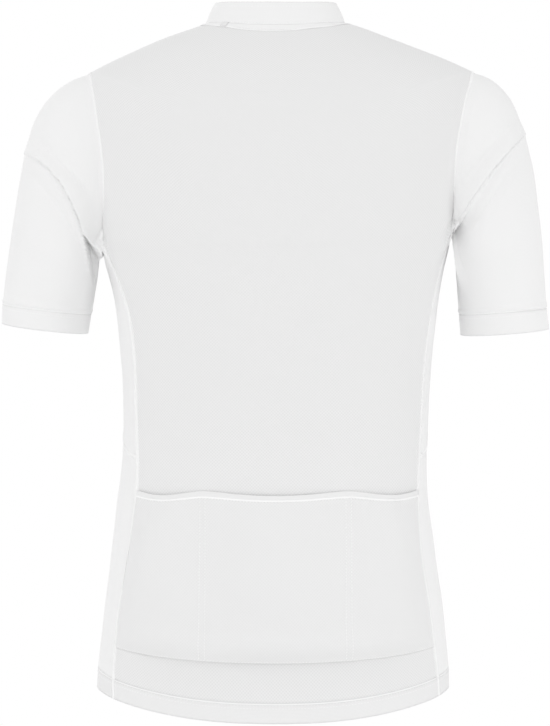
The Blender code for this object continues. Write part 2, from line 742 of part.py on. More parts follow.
def block_object(name, blocks, finish, at, bevel):
    """Boxes joined into one body by Boolean unions, with soft edges."""
    pieces = []
    for i, (size, centre) in enumerate(blocks):
        mesh = bpy.data.meshes.new(name if i == 0 else name + "_guide")
        shape = bmesh.new()
        add_block(shape, size, centre)
        bmesh.ops.bevel(shape, geom=shape.edges[:], offset=bevel * MM, segments=1,
                        affect="EDGES", clamp_overlap=True)
        shape.to_mesh(mesh)
        shape.free()
        if i == 0:
            piece = finish_object(name, mesh, finish, at)
        else:
            piece = finish_object(name + "_guide_%d" % i, mesh, finish, at)
            piece.hide_render = True
            piece.display_type = "WIRE"
        pieces.append(piece)
    for guide in pieces[1:]:
        union = pieces[0].modifiers.new("joined", "BOOLEAN")
        union.operation = "UNION"
        union.object = guide
    return pieces[0]


def chain_face():
    """How far forward the zip's chain reaches over the slider's height."""
    reach = []
    for step in range(CHAIN_STEPS + 1):
        line = collar_row(step / CHAIN_STEPS)
        if abs(line.front_z - SLIDER_Z) < SLIDER_SIZE[2]:
            reach.append(line.front)
    return -(max(reach) + CHAIN_PROUD)


def make_zip_pieces():
    """The slider with its bridge, and the pull, whose bar turns in the bridge."""
    metal = material("zip_metal", (0.82, 0.82, 0.83), 0.35, 0.8)
    face = chain_face() - SLIDER_CLEAR
    width, thick, tall = SLIDER_SIZE
    front = -thick
    blocks = [((width, thick, tall), (0, -thick / 2, 0))]
    foot = BRIDGE_REACH - BRIDGE_BAR + 2 * BRIDGE_SINK
    for end in (1, -1):
        blocks.append(((BRIDGE_WIDTH, foot, BRIDGE_BAR),
                       (0, front - (BRIDGE_REACH - BRIDGE_BAR) / 2,
                        end * (BRIDGE_HEIGHT - BRIDGE_BAR) / 2)))
    blocks.append(((BRIDGE_WIDTH, BRIDGE_BAR, BRIDGE_HEIGHT),
                   (0, front - BRIDGE_REACH + BRIDGE_BAR / 2, 0)))
    block_object("zip_slider", blocks, metal, (0, face, SLIDER_Z), SLIDER_BEVEL)
    pivot = (0, face + front - (BRIDGE_REACH - BRIDGE_BAR) / 2, SLIDER_Z)
    leg = (PULL_EYE - BRIDGE_WIDTH) / 2 - PULL_PLAY
    tab = PULL_LENGTH - PULL_EYE_LENGTH
    blocks = [((PULL_EYE, PULL_BAR, PULL_BAR), (0, 0, 0)),
              ((PULL_EYE, PULL_BAR, tab), (0, 0, -PULL_EYE_LENGTH - tab / 2))]
    for side in (1, -1):
        blocks.append(((leg, PULL_BAR, PULL_EYE_LENGTH + PULL_OVERLAP),
                       (side * (PULL_EYE - leg) / 2, 0, -(PULL_EYE_LENGTH + PULL_OVERLAP) / 2)))
    block_object("zip_pull", blocks, metal, pivot, PULL_BEVEL)


def main():
    """Builds the whole jersey."""
    for old in list(bpy.data.objects):
        bpy.data.objects.remove(old, do_unlink=True)
    grids = {**body_grids(), **sleeve_grids()}
    make_cloth_pieces(grids, seam_normals(grids))
    make_pockets()
    make_zip_pieces()


main()
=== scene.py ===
"""The looks of a white cycling jersey: knitted shells, folds, seams, stitches, zip, light and camera.

Sizes are in millimetres until a mesh is made. The front faces -Y, the back +Y, +Z is up, and the
wearer's left is +X.
"""
import math
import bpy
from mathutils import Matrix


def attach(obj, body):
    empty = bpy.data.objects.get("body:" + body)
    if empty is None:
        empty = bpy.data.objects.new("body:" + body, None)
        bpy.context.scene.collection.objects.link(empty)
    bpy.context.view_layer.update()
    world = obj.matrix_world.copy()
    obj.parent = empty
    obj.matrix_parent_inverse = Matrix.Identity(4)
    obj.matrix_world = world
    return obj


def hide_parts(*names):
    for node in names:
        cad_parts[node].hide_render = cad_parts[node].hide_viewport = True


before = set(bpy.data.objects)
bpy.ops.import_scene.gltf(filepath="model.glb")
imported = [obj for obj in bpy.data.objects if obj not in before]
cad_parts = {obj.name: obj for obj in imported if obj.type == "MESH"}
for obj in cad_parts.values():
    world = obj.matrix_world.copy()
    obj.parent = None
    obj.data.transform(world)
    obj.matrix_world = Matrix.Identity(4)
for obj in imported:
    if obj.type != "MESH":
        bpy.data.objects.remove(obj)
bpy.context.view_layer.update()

from types import SimpleNamespace

import bpy
import numpy as np
from mathutils import Vector

MM = 0.001

# ---- the cut of the jersey

CLOTH = 1.3                # wall that the solids give the cloth
SHELL = 0.9                # thickness of the shells that stand for it
BAND = 1.3                 # that of the doubled bands
HEM_BAND = {"thick": BAND, "raised": CLOTH / 2 + 0.2}
ROUNDNESS = 2.25           # the power of the ovals round body and sleeves: 2 is an ellipse
BODY_SAG = 1.8             # the powers by which a row sags from its side to its middle
SHOULDER_SAG = 2.6
ZIP_HALF_WIDTH = 7.0       # of the zip with both tapes
ZIP_GAP = 0.25             # from the middle to each tape's edge
ARMPIT_LEFT = -225.0       # heights, with 0 at the neck seam's side
ARMPIT_RIGHT = -211.0
INSERT_END = -430.0
INSERT_FOOT = -431.5       # where the fronts reach the back seams again
POCKET_MOUTH = -463.0
POCKET_BAND_END = -469.0
POCKET_BOTTOM = -614.0
DIVIDER_X = 70.0           # where the dividers are, left and right of the middle
DIVIDER_HALF = 0.018       # half width of a stitched divider, as a share of a row's half
HALF_BACK = 170            # round the body from the middle of the pockets to their side
POCKET_STAND_OFF = 1.9     # of the pocket cloth from the back
SEAM_LIFT = 0.3            # what is left of it along the side seams and the bottom
POCKET_GAPE = 10.0         # how far the full bags stand off between the dividers
POCKET_BELLY = 2.8         # how far the bags hang out over their bottom seam
MOUTH_DIP = 4.4            # how far the mouths sag between the dividers
MOUTH_PULL = 0.84          # how much of the gape the elastic band takes back
MOUTH_PULLED = (-505, -467)    # from where up it does so, and from where in full
BAND_ROWS = 7              # rows of the pocket grid that belong to its band
STITCH_LENGTH = 2.4
STITCH_PITCH = 3.1
STITCH_WIDTH = 0.42
DIVIDER_STITCH_WIDTH = 0.6
FLATLOCK_PITCH = 1.5
SEAM_STEP = 2.0            # between the points along a seam's ridge
COIL_PITCH = 1.5
COIL_WIDTH = 2.9
COIL_WIRE = 0.95
TUCK = 6.0                 # how far the back draws in under the pockets
WEB_DEPTH = 42.0           # how far behind the middle the cloth crosses the armpit's hollow
WEB_REACH = (20, 34)       # the hollow's half width and height
WEB_LIP = 1.8              # how far the flap's rounded edge stands out
HEM_TOP = -642.0
HEM_EDGE = -660.0
TIP_LEFT = -49.0           # heights of the shoulder tips
TIP_RIGHT = -47.4
CHEST_CORNER = -45.0       # the angle in front where the columns change their spacing
OVERLAP_X = 50.5           # where the neck band's ends lap
OVERLAP_HALF = 3.4
CAMERA_DISTANCE = 3200.0
CAMERA_HEIGHT = -338.0
VIEW_HEIGHT = 726.0        # what the camera sees, top to bottom, at the jersey's middle
SENSOR = 36.0              # the camera's film, across its longer side


class Table:
    """Columns of numbers against a first column, joined by smooth curves."""

    def __init__(self, names, *rows):
        data = np.array(sorted(rows), float)
        self.names = names.split()[1:]
        self.keys = data[:, 0]
        self.values = data[:, 1:]
        self.slopes = np.gradient(self.values, self.keys, axis=0)

    def at(self, key):
        """The columns' values at one place along the first column."""
        key = min(max(key, self.keys[0]), self.keys[-1])
        i = min(max(int(np.searchsorted(self.keys, key)) - 1, 0), len(self.keys) - 2)
        span = self.keys[i + 1] - self.keys[i]
        t = (key - self.keys[i]) / span
        rise = 3 * t ** 2 - 2 * t ** 3
        mixed = (self.values[i] * (1 - rise) + self.values[i + 1] * rise
                 + self.slopes[i] * span * (t ** 3 - 2 * t ** 2 + t)
                 + self.slopes[i + 1] * span * (t ** 3 - t ** 2))
        return SimpleNamespace(**dict(zip(self.names, mixed)))


# Half widths, depths of back and front, and how much lower their middles hang than the side.
BODY = Table(
    "side_z left right back front back_drop front_drop",
    (-660, 177.5, 172.5, 107, 120, 27, -15),
    (-640, 176.6, 172, 105, 119, 27, -14),
    (-614, 173.6, 169.6, 107, 118, 15, -12),
    (-560, 167.3, 163.5, 103, 114, 8, -8),
    (-510, 161, 156.2, 93, 110, 3, -3),
    (-470, 156.8, 151.6, 88, 108, 0, 0),
    (-430, 152.4, 150.5, 87, 109, 0, 0),
    (-385, 151.5, 152.6, 92, 114, 0, 0),
    (-335, 153.7, 156.2, 99, 120, 0, 0),
    (-290, 158, 161.6, 105, 124, 0, 0),
    (-255, 164.8, 167.6, 108, 125, 0, 0),
    (-225, 173.5, 176, 110, 124, 0, 0),
)

# How far in from the side the back side seams lie, and the angles of the inserts' front edges.
SEAMS = Table(
    "side_z left_inset right_inset left_front right_front",
    (-660, 18.5, 12, 0, 0),
    (-600, 16, 14, 0, 0),
    (-550, 17.5, 15.5, 0, 0),
    (-500, 19, 14, 0, 0),
    (-460, 19.5, 10.5, 30, 24),
    (-430, 16.5, 9, 24, 16),
    (-424, 16, 8.9, 14, 9),
    (-408, 14.8, 8.8, -1, -3),
    (-380, 14.5, 8.8, -11, -12),
    (-330, 14.8, 8.2, -19, -19),
    (-280, 13, 6.2, -21, -21),
    (-250, 9.5, 4.6, -16, -16),
    (-225, 1, 1, -12, -12),
)

# The armhole against the way round it, from the armpit (0) to the shoulder (180).
ARMHOLE = Table(
    "turn left right left_front right_front behind before back front back_z front_z",
    (0, 173.5, 176, 173, 175.5, 12, 20, 111, 124, -225, -225),
    (30, 171.6, 175.4, 169, 172, 35, 36, 112, 123, -216, -214),
    (60, 169, 175, 164, 169, 51, 49, 112, 122, -193, -191),
    (90, 169.8, 177.6, 164, 171, 57, 57, 111, 119, -160, -162),
    (120, 175.6, 184.6, 173, 182, 52, 52, 109, 116, -125, -134),
    (150, 182.2, 193, 183.5, 194, 33, 32, 106, 112, -97, -114),
    (180, 185, 196, 185, 196, 0, 0, 103, 109, -84, -106),
)

# The shoulders against the way from the neck (0) to the tip (1).
SHOULDER = Table(
    "way left_x left_z right_x right_z back front back_z front_z",
    (0, 74, -1.5, 74, -0.5, 59, 79, -11.5, -82),
    (0.18, 95, -9, 96, -8, 72, 88, -25, -86),
    (0.45, 125.5, -21, 128, -20, 87, 98, -45, -92),
    (0.73, 155.8, -34.8, 162, -33, 97, 105, -65, -99),
    (1, 185, -49, 196, -47.4, 103, 109, -84, -106),
)

# The collar against the way up it, from the neck seam (0) to the top (1).
COLLAR = Table(
    "way side side_z back back_z front front_z",
    (0, 69.5, 0, 55, -5.4, 76, -76),
    (0.5, 65.5, 11, 51.5, 6.5, 76.5, -57),
    (1, 60.6, 20.5, 47.5, 17.6, 75.5, -38),
)

# Each sleeve's outer and inner edge from behind, against the way down it: 8 is the cuff's seam.
SLEEVE_EDGES = {
    1: Table(
        "way outer_x outer_z inner_x inner_z",
        (0, 185, -49, 173.5, -225),
        (1, 208, -59.5, 176.6, -233),
        (2, 228, -76.5, 177.4, -237),
        (3, 241.5, -99, 178.2, -242),
        (4, 250, -127, 179, -248.5),
        (5, 256.6, -160, 180, -257),
        (6, 262.2, -197, 181.8, -267.5),
        (7, 268, -237, 183.7, -278.5),
        (8, 273.4, -278.2, 186, -288.7),
        (9, 274.3, -297.5, 189, -307.7),
    ),
    -1: Table(
        "way outer_x outer_z inner_x inner_z",
        (0, 196, -47.4, 176, -211),
        (1, 217, -57, 179, -219),
        (2, 233.5, -74, 179.6, -224.5),
        (3, 244.6, -97.5, 180.2, -231),
        (4, 252, -121, 180.8, -239),
        (5, 258.2, -149, 181.7, -248),
        (6, 262.8, -183, 182.8, -260),
        (7, 267.4, -225, 183.9, -273),
        (8, 271.6, -282, 185.4, -288.7),
        (9, 274.2, -303, 187, -309.6),
    ),
}
# Both sleeves' middle and half depth, how much of the oval's roundness is won, and the lean.
SLEEVE_FORM = Table(
    "way middle depth round lean",
    (0, 0, 57, 0, 0),
    (1, 0, 59, 0.4, 0),
    (2, -1, 61, 0.8, 0.03),
    (3, -3, 61, 1, 0.06),
    (4, -6, 60, 1, 0.09),
    (5, -9, 58, 1, 0.10),
    (6, -12, 56, 1, 0.09),
    (7, -15, 53, 1, 0.07),
    (8, -18, 50, 1, 0.05),
    (9, -20, 49, 1, 0.07),
)

# Folds: 1 behind or -1 in front, a start, a bend and an end across and in height, the half widths
# on the left and right hand of one who walks along the fold with +X to the right and +Z ahead, and
# how far the cloth stands out.
SLEEVE_FOLDS = {
    1: (
        (1, 246, -131, 194.5, -152.5, 185, -244, 1.9, 14, 8),
        (1, 240, -117, 216, -131, 187, -166, 9, 10, -5.6),
        (1, 240, -131, 230, -136, 221, -147, 1.6, 1.6, -1.3),
        (1, 248, -146, 206, -186, 186, -232, 8, 5, -2.2),
        (1, 258, -205, 230, -232, 200, -246, 13, 10, 0.8),
        (-1, 242, -124, 206, -160, 177, -226, 5, 10, 6),
        (-1, 240, -134, 208, -176, 182, -234, 10, 6, 2.4),
        (-1, 244, -112, 216, -134, 188, -172, 7, 9, -3.6),
        (-1, 250, -170, 222, -204, 194, -246, 9, 9, -1.4),
    ),
    -1: (
        (1, -246, -112, -203, -148, -174, -222, 14, 1.9, 8),
        (1, -238, -98, -214, -119, -183, -160, 10, 9, -5.4),
        (1, -250, -128, -210, -172, -186, -222, 5, 8, -2),
        (1, -244, -112, -236, -120, -230, -131, 1.8, 1.8, 0.9),
        (1, -258, -196, -232, -226, -202, -242, 10, 13, 0.8),
        (-1, -242, -112, -206, -152, -178, -216, 10, 5, 6),
        (-1, -241, -124, -209, -168, -182, -226, 6, 10, 2.4),
        (-1, -244, -102, -216, -126, -188, -164, 9, 7, -3.6),
        (-1, -250, -158, -222, -194, -194, -236, 9, 9, -1.4),
    ),
}
# How each sleeve's cloth hangs over its armpit. middle is the hollow behind it, armpit the top of
# the gap and lift how far it is raised, edge the lower edge of the flap, and depth how far behind
# the middle the cloth under it lies. Under the left flap the cloth falls into a dark slot, with
# slot as its outer side and tip beside it. Under the right one it only steps down, at step.
FLAPS = {
    1: SimpleNamespace(middle=(174, -210), armpit=(174, -225), lift=7, depth=11,
                       edge=((189, -211), (174, -237)), slot=((188, -212), (179.5, -278)),
                       tip=(173, -229)),
    -1: SimpleNamespace(middle=(-178, -196), armpit=(-178, -211), lift=9, depth=29,
                        edge=((-193, -181), (-174, -215)), slot=None, step=(-184, -203)),
}
BODY_FOLDS = (
    (1, 160, -226, 152, -248, 150, -272, 5, 7, 1.6),
    (1, 168, -232, 159, -256, 155, -286, 4, 4, -1.2),
    (1, -163, -218, -155, -240, -152, -268, 7, 5, 1.4),
    (1, 158, -205, 120, -235, 62, -256, 18, 22, 1.3),
    (1, -160, -196, -118, -236, -66, -262, 22, 18, 1.2),
    (1, 148, -300, 100, -352, 30, -372, 24, 28, -0.9),
    (1, -146, -290, -104, -346, -34, -376, 28, 24, -0.8),
    (1, 72, -462, 66, -430, 40, -396, 12, 14, 1),
    (1, -72, -462, -66, -428, -44, -398, 14, 12, 1),
    (1, 147, -438, 143, -490, 150, -560, 3.5, 4, -1.8),
    (1, -146, -448, -150, -500, -156, -560, 6, 5, -1.2),
    (-1, 162, -212, 128, -232, 74, -238, 12, 16, 1.8),
    (-1, -162, -200, -128, -224, -78, -232, 16, 12, 1.7),
    (-1, 158, -236, 124, -262, 80, -280, 14, 10, -1.2),
    (-1, -158, -228, -126, -256, -84, -276, 10, 14, -1.1),
    (-1, 146, -392, 96, -404, 34, -396, 9, 13, 1.3),
    (-1, -146, -398, -98, -414, -38, -402, 13, 9, 1.3),
    (-1, 148, -424, 104, -440, 46, -436, 12, 9, -1.1),
    (-1, -148, -430, -100, -446, -42, -438, 9, 12, -1.1),
    (-1, 150, -470, 96, -486, 30, -478, 14, 14, 1),
    (-1, -150, -466, -104, -488, -34, -482, 14, 14, 0.9),
)
# Gathers of the pocket cloth under its band: across, half width, how far down, and how far out.
POCKET_GATHERS = (
    (118, 3.2, 18, 0.9), (96, 2.4, 12, 0.6), (52, 2.2, 10, 0.5), (-14, 2.6, 9, 0.4),
    (-52, 2.3, 10, 0.6), (-86, 3, 14, 1.1), (-95, 2.4, 12, -0.7), (-112, 3.6, 26, 1.3),
    (-120, 2.6, 20, -0.8),
)


# ---- rows round the body

def oval_angle(across, half_width):
    """The angle, in degrees, at which a quarter oval is that far across."""
    share = min(max(across / half_width, 0.0), 1.0)
    return math.degrees(math.acos(share ** (ROUNDNESS / 2)))


def oval_width(across, off_middle, depth):
    """The half width of the oval that passes through one point."""
    return across / (1 - (off_middle / depth) ** ROUNDNESS) ** (1 / ROUNDNESS)


def row(here, back_z, front_z, power, *sides):
    """One row round the body, from its depths, its heights and its left and right side.

    A side has its height, its half widths behind and in front, and where its cloth begins there.
    """
    names = ("z", "back_width", "front_width", "back_edge", "front_edge")
    return SimpleNamespace(back=here.back, front=here.front, back_z=back_z, front_z=front_z,
                           power=power, sides={side: SimpleNamespace(**dict(zip(names, values)))
                                               for side, values in zip((1, -1), sides)})


def body_row(z):
    """A row below the armpits. The right side climbs to the higher right armpit."""
    here = BODY.at(z)
    climb = max(z - INSERT_END, 0) / (ARMPIT_LEFT - INSERT_END)
    right_z = z + (ARMPIT_RIGHT - ARMPIT_LEFT) * climb
    return row(here, z - here.back_drop, z - here.front_drop, BODY_SAG,
               (z, here.left, here.left, 0, 0), (right_z, here.right, here.right, 0, 0))


def armhole_row(turn):
    """A row that runs from armhole to armhole."""
    here = ARMHOLE.at(turn)
    rise = (1 - math.cos(math.radians(turn))) / 2
    sides = [(low + (high - low) * rise,
              oval_width(behind_x, here.behind, here.back),
              oval_width(front_x, here.before, here.front),
              here.behind, here.before)
             for behind_x, front_x, low, high in (
                 (here.left, here.left_front, ARMPIT_LEFT, TIP_LEFT),
                 (here.right, here.right_front, ARMPIT_RIGHT, TIP_RIGHT))]
    return row(here, here.back_z, here.front_z, SHOULDER_SAG, *sides)


def shoulder_row(way):
    """A row that runs from one shoulder seam to the other."""
    here = SHOULDER.at(way)
    return row(here, here.back_z, here.front_z, SHOULDER_SAG,
               (here.left_z, here.left_x, here.left_x, 0, 0),
               (here.right_z, here.right_x, here.right_x, 0, 0))


def collar_row(way):
    """A row round the collar."""
    here = COLLAR.at(way)
    side = (here.side_z, here.side, here.side, 0, 0)
    return row(here, here.back_z, here.front_z, SHOULDER_SAG, side, side)


def row_point(line, side, angle):
    """A point on a row: 0 is the side, 90 the middle of the back, -90 that of the front."""
    here = line.sides[side]
    if angle >= 0:
        width, depth, middle_z, edge = here.back_width, line.back, line.back_z, here.back_edge
    else:
        width, depth, middle_z, edge = here.front_width, -line.front, line.front_z, here.front_edge
    turn = math.radians(min(abs(angle), 90.0))
    across = width * math.cos(turn) ** (2 / ROUNDNESS)
    deep = math.sin(turn) ** (2 / ROUNDNESS)
    start = abs(edge / depth)
    sag = max((deep - start) / (1 - start), 0.0) ** line.power
    return side * across, depth * deep, here.z + (middle_z - here.z) * sag


def edge_angle(line, side, face):
    """The angle at which a row leaves the armhole, behind (face 1) or in front (-1)."""
    here = line.sides[side]
    edge, depth = (here.back_edge, line.back) if face > 0 else (here.front_edge, line.front)
    return face * math.degrees(math.asin((edge / depth) ** (ROUNDNESS / 2)))


def seam_angle(z, side):
    """Where the back side seam crosses a row below the armpits."""
    if z >= ARMPIT_LEFT:
        return edge_angle(armhole_row(0), side, 1)
    seams, here = SEAMS.at(z), BODY.at(z)
    width = here.left if side > 0 else here.right
    inset = seams.left_inset if side > 0 else seams.right_inset
    return oval_angle(width - inset, width)


def insert_angle(z, side):
    """Where the front edge of the underarm insert crosses a row."""
    if z >= ARMPIT_LEFT:
        return edge_angle(armhole_row(0), side, -1)
    return SEAMS.at(z).left_front if side > 0 else SEAMS.at(z).right_front


def zip_angle(line, side):
    """The angle at which a row meets the zip."""
    return -oval_angle(ZIP_HALF_WIDTH, line.sides[side].front_width)


# ---- fine grids of the pieces

def spans(*parts):
    """Even steps through several ranges, each from its first to its last number by a count."""
    return np.concatenate([np.linspace(*part) for part in parts])


COLLAR_WAYS = np.linspace(0, 1, 22)
LOWER = np.linspace(HEM_TOP, INSERT_FOOT, 64)
INSERT = np.linspace(INSERT_END, ARMPIT_LEFT, 60)
TURNS = np.linspace(0.0, 180.0, 49)
SHOULDERS = np.linspace(1.0, 0.0, 30)[1:]
HEM = np.linspace(HEM_EDGE, HEM_TOP, 9)
BACK_HALF = 60
FRONT_HALF = 30
INSERT_COLUMNS = 24
SLEEVE_TURNS = np.linspace(0.0, 180.0, 97)
SLEEVE_UNDER = 30          # columns of a sleeve along the underarm insert
SLEEVE_WAYS = np.unique(spans((0, 1, 20), (1, 8, 150)))
# Across the pocket panel, with the side seams at -1 and 1 and the dividers at -0.5 and 0.5.
POCKET_PLACES = spans((-1, -0.52, 36), (-0.517, -0.483, 5), (-0.48, 0.48, 60), (0.483, 0.517, 5),
                      (0.52, 1, 36))
POCKET_HEIGHTS = spans((POCKET_BOTTOM, -596, 14), (-593, -486, 38), (-484, POCKET_BAND_END, 8),
                       (POCKET_BAND_END + 1, POCKET_MOUTH, BAND_ROWS - 1))
DIVIDER_COLUMNS = (36, 40, 101, 105)    # both sides of each divider


def panel_rows():
    """All rows from the hem band to the neck band, each with the kind of edge that it has."""
    return [(kind, key, make(key)) for kind, keys, make in (
        ("low", LOWER, body_row), ("insert", INSERT[:-1], body_row),
        ("armhole", TURNS, armhole_row), ("shoulder", SHOULDERS, shoulder_row)) for key in keys]


def row_edge(kind, key, line, side, face):
    """The angle of a panel's side edge on a row: the back's (face 1) or the front's (-1)."""
    if kind == "low" or (kind == "insert" and face > 0):
        return seam_angle(key, side)
    return insert_angle(key, side) if kind == "insert" else edge_angle(line, side, face)


def back_line(line, left, right):
    """Points across the back from the left edge's angle to the right edge's."""
    return ([row_point(line, 1, angle) for angle in np.linspace(left, 90, BACK_HALF + 1)[:-1]]
            + [row_point(line, -1, angle) for angle in np.linspace(90, right, BACK_HALF + 1)])


def front_line(line, side, edge):
    """Points across one front, from its side edge to the zip."""
    angles = np.interp(range(2 * FRONT_HALF + 1), (0, FRONT_HALF, 2 * FRONT_HALF),
                       (edge, CHEST_CORNER, zip_angle(line, side)))
    return [row_point(line, side, angle) for angle in angles]


def neck_line(line):
    """Points round the neck, from the left of the zip by the back to its right."""
    left = front_line(line, 1, 0.0)[::-1]
    return left[:-1] + back_line(line, 0.0, 0.0) + front_line(line, -1, 0.0)[1:]


def zip_line(line, side, places):
    """Points across one zip tape, at distances from the middle."""
    width = line.sides[side].front_width
    return [row_point(line, side, -oval_angle(across, width)) for across in places]


def insert_line(z, side, columns=INSERT_COLUMNS):
    """Points across the underarm insert, from its front edge to its back one."""
    line = body_row(z) if z < ARMPIT_LEFT else armhole_row(0)
    return [row_point(line, side, angle) for angle in
            np.linspace(insert_angle(z, side), seam_angle(z, side), columns + 1)]


def armhole_loop(side):
    """The armhole's points from the shoulder down the back, under the arm and up the front."""
    behind, before = ([row_point(line, side, edge_angle(line, side, face))
                       for line in map(armhole_row, turns)]
                      for face, turns in ((1, SLEEVE_TURNS[::-1]), (-1, SLEEVE_TURNS[:-1])))
    return np.array(behind + insert_line(ARMPIT_LEFT, side, SLEEVE_UNDER)[::-1][1:-1] + before)


def power(values):
    """The oval's power of sines and cosines, with their signs."""
    return np.sign(values) * np.abs(values) ** (2 / ROUNDNESS)


def sleeve_axis(side, way):
    """The middle between a sleeve's edges, and the step from it to the outer one."""
    here = SLEEVE_EDGES[side].at(way)
    outer = np.array((side * here.outer_x, 0, here.outer_z))
    inner = np.array((side * here.inner_x, 0, here.inner_z))
    return (outer + inner) / 2, (outer - inner) / 2


def sleeve_ring(side, way, loop):
    """One closed ring round a sleeve, as the armhole at first and then as an oval."""
    here = SLEEVE_FORM.at(way)
    middle, reach = sleeve_axis(side, 0)
    along = loop - middle
    up = along @ reach / reach.dot(reach)
    aside = (along - up[:, None] * reach) * (1 - here.round)
    behind = len(SLEEVE_TURNS)
    angle = np.radians(spans((0, 150, behind), (150, 210, SLEEVE_UNDER + 1), (210, 360, behind)))
    angle = np.delete(angle, (behind, behind + SLEEVE_UNDER + 1, -1))
    up += (power(np.cos(angle)) - up) * here.round
    deep = along[:, 1] / SLEEVE_FORM.at(0).depth
    deep += (power(np.sin(angle)) - deep) * here.round
    deep *= here.depth
    middle, reach = sleeve_axis(side, way)
    ring = middle + up[:, None] * reach + aside * (1, 0, 1)
    ring[:, 1] = here.middle + deep
    ring[:, 2] -= here.lean * deep
    return ring


def smooth_rows(grid, rounds=14):
    """Takes out small kinks from row to row at the chest and shoulders, away from the edges."""
    rows, columns = grid.shape[:2]
    from_side = np.minimum(np.arange(columns), np.arange(columns)[::-1])
    from_end = np.minimum(np.arange(rows) - len(LOWER) - len(INSERT) // 2,
                          np.arange(rows)[::-1])
    weight = (ramp(from_side, 0, 8) * ramp(from_end, 0, 8)[:, None])[..., None]
    for _ in range(rounds):
        mean = grid.copy()
        mean[1:-1] = (grid[:-2] + grid[2:]) / 2
        grid = grid + (mean - grid) * weight * 0.5
    return grid


# ---- relief

def grid_normals(grid, closed, middle):
    """Outward directions at a grid's points, away from a middle line or point."""
    across = (np.roll(grid, -1, axis=1) - np.roll(grid, 1, axis=1) if closed
              else np.gradient(grid, axis=1))
    normals = np.cross(across, np.gradient(grid, axis=0))
    normals /= np.linalg.norm(normals, axis=2, keepdims=True) + 1e-12
    return -normals if (normals * (grid - middle)).sum() < 0 else normals


def fold_relief(points, folds, behind):
    """How far a table of folds moves points out. behind is from -1 in front to 1 at the back."""
    flat = points[..., (0, 2)].reshape(-1, 2)
    total = np.zeros(len(flat))
    steps = np.linspace(0, 1, 36)[:, None]
    for face, x1, z1, x2, z2, x3, z3, left, right, out in folds:
        a, b, c = np.array(((x1, z1), (x2, z2), (x3, z3)))
        curve = (1 - steps) ** 2 * a + 2 * steps * (1 - steps) * b + steps ** 2 * c
        slope = (1 - steps) * (b - a) + steps * (c - b)
        reach = 3.2 * max(left, right)
        low, high = curve.min(axis=0) - reach, curve.max(axis=0) + reach
        near = np.nonzero(((flat > low) & (flat < high)).all(axis=1))[0]
        if not len(near):
            continue
        gaps = flat[near][:, None] - curve
        nearest = (gaps ** 2).sum(axis=2).argmin(axis=1)
        gap, ahead = gaps[np.arange(len(near)), nearest], slope[nearest]
        on_left = ahead[:, 0] * gap[:, 1] - ahead[:, 1] * gap[:, 0] > 0
        width = np.where(on_left, left, right)
        swell = np.sin(math.pi * (0.06 + 0.86 * nearest / (len(steps) - 1))) ** 0.8
        height = out * swell * np.exp(-(np.linalg.norm(gap, axis=1) / width) ** 1.4)
        total[near] += height * np.clip(behind.reshape(-1)[near] * face * 2.2, 0, 1)
    return total.reshape(points.shape[:-1])


def softness(points, size=0.35):
    """The slow unevenness that knitted cloth has everywhere."""
    x, y, z = np.moveaxis(points, -1, 0)
    return size * (np.sin(x / 17 + z / 41 + 0.6) * np.sin(z / 23 - y / 31 + 1.9)
                   + 0.6 * np.sin(x / 9.5 - z / 27 + 2.2) * np.sin(z / 12.5 + x / 33 + 0.4))


def beyond(points, line, side):
    """How far points lie from a line across and in height, towards the body."""
    start, end = np.array(line[0], float), np.array(line[1], float)
    ahead = (end - start) / np.linalg.norm(end - start)
    return side * ((points[..., 0] - start[0]) * ahead[1] - (points[..., 2] - start[1]) * ahead[0])


def ramp(values, low, high):
    """0 up to one value, 1 from another on, and even between them."""
    return np.clip((values - low) / (high - low), 0, 1)


def ease(values):
    """A smooth step from 0 to 1."""
    values = np.clip(values, 0, 1)
    return values * values * (3 - 2 * values)


def window(points, place, width, height, steep=4):
    """1 round a place across and in height, and 0 farther off than the width and height."""
    return np.exp(-np.hypot((points[..., 0] - place[0]) / width,
                            (points[..., 2] - place[1]) / height) ** steep)


def armpit_web(points, sleeve=False):
    """The cloth is drawn across the hollow behind each armpit and ends there as a hanging flap."""
    moved = points.copy()
    for side, flap in FLAPS.items():
        moved[..., 2] += flap.lift * window(moved, flap.armpit, 11, 12, 2)
        over = beyond(moved, flap.edge, side)
        above, under = ease(over / 2 + 0.5), ease(0.5 - over / 2)
        y = moved[..., 1].copy()
        web = np.maximum(WEB_DEPTH - y, 0) * above + WEB_LIP * np.exp(-((over - 2.2) / 2) ** 2)
        moved[..., 1] += web * window(moved, flap.middle, *WEB_REACH) * ramp(y, 8, 22)
        if sleeve and flap.slot:
            # The slot's floor climbs a little, and the tip beside it is drawn to the body.
            inside = ease(beyond(moved, flap.slot, side) / 2.8 + 0.3)
            inside *= ramp(moved[..., 2], flap.slot[1][1], flap.slot[1][1] + 4)
            floor = flap.depth + 0.4 * np.clip(moved[..., 2] + 250, -16, 30)
            moved[..., 1] -= np.maximum(y - floor, 0) * under * inside
            tip = window(moved, flap.tip, 10, 15) * above
            moved[..., 0] -= side * 4.2 * tip * ramp(y, 4, 12)
        elif sleeve:
            # The cloth under the flap is filled out towards the body, with a step at the edge.
            full = ramp(y, 0, 7) * under
            full *= window(moved, (flap.armpit[0], flap.armpit[1] - 16), 17, 34)
            moved[..., 1] += np.maximum(flap.depth - y, 0) * full
            moved[..., 0] -= side * 3.2 * full * ramp(-y, -36, -28)
            step = window(moved, flap.step, 15, 17, 2) * np.exp(np.minimum(over, 0) / 10)
            moved[..., 1] -= 8 * under * step * ramp(y, 8, 22)
    return moved


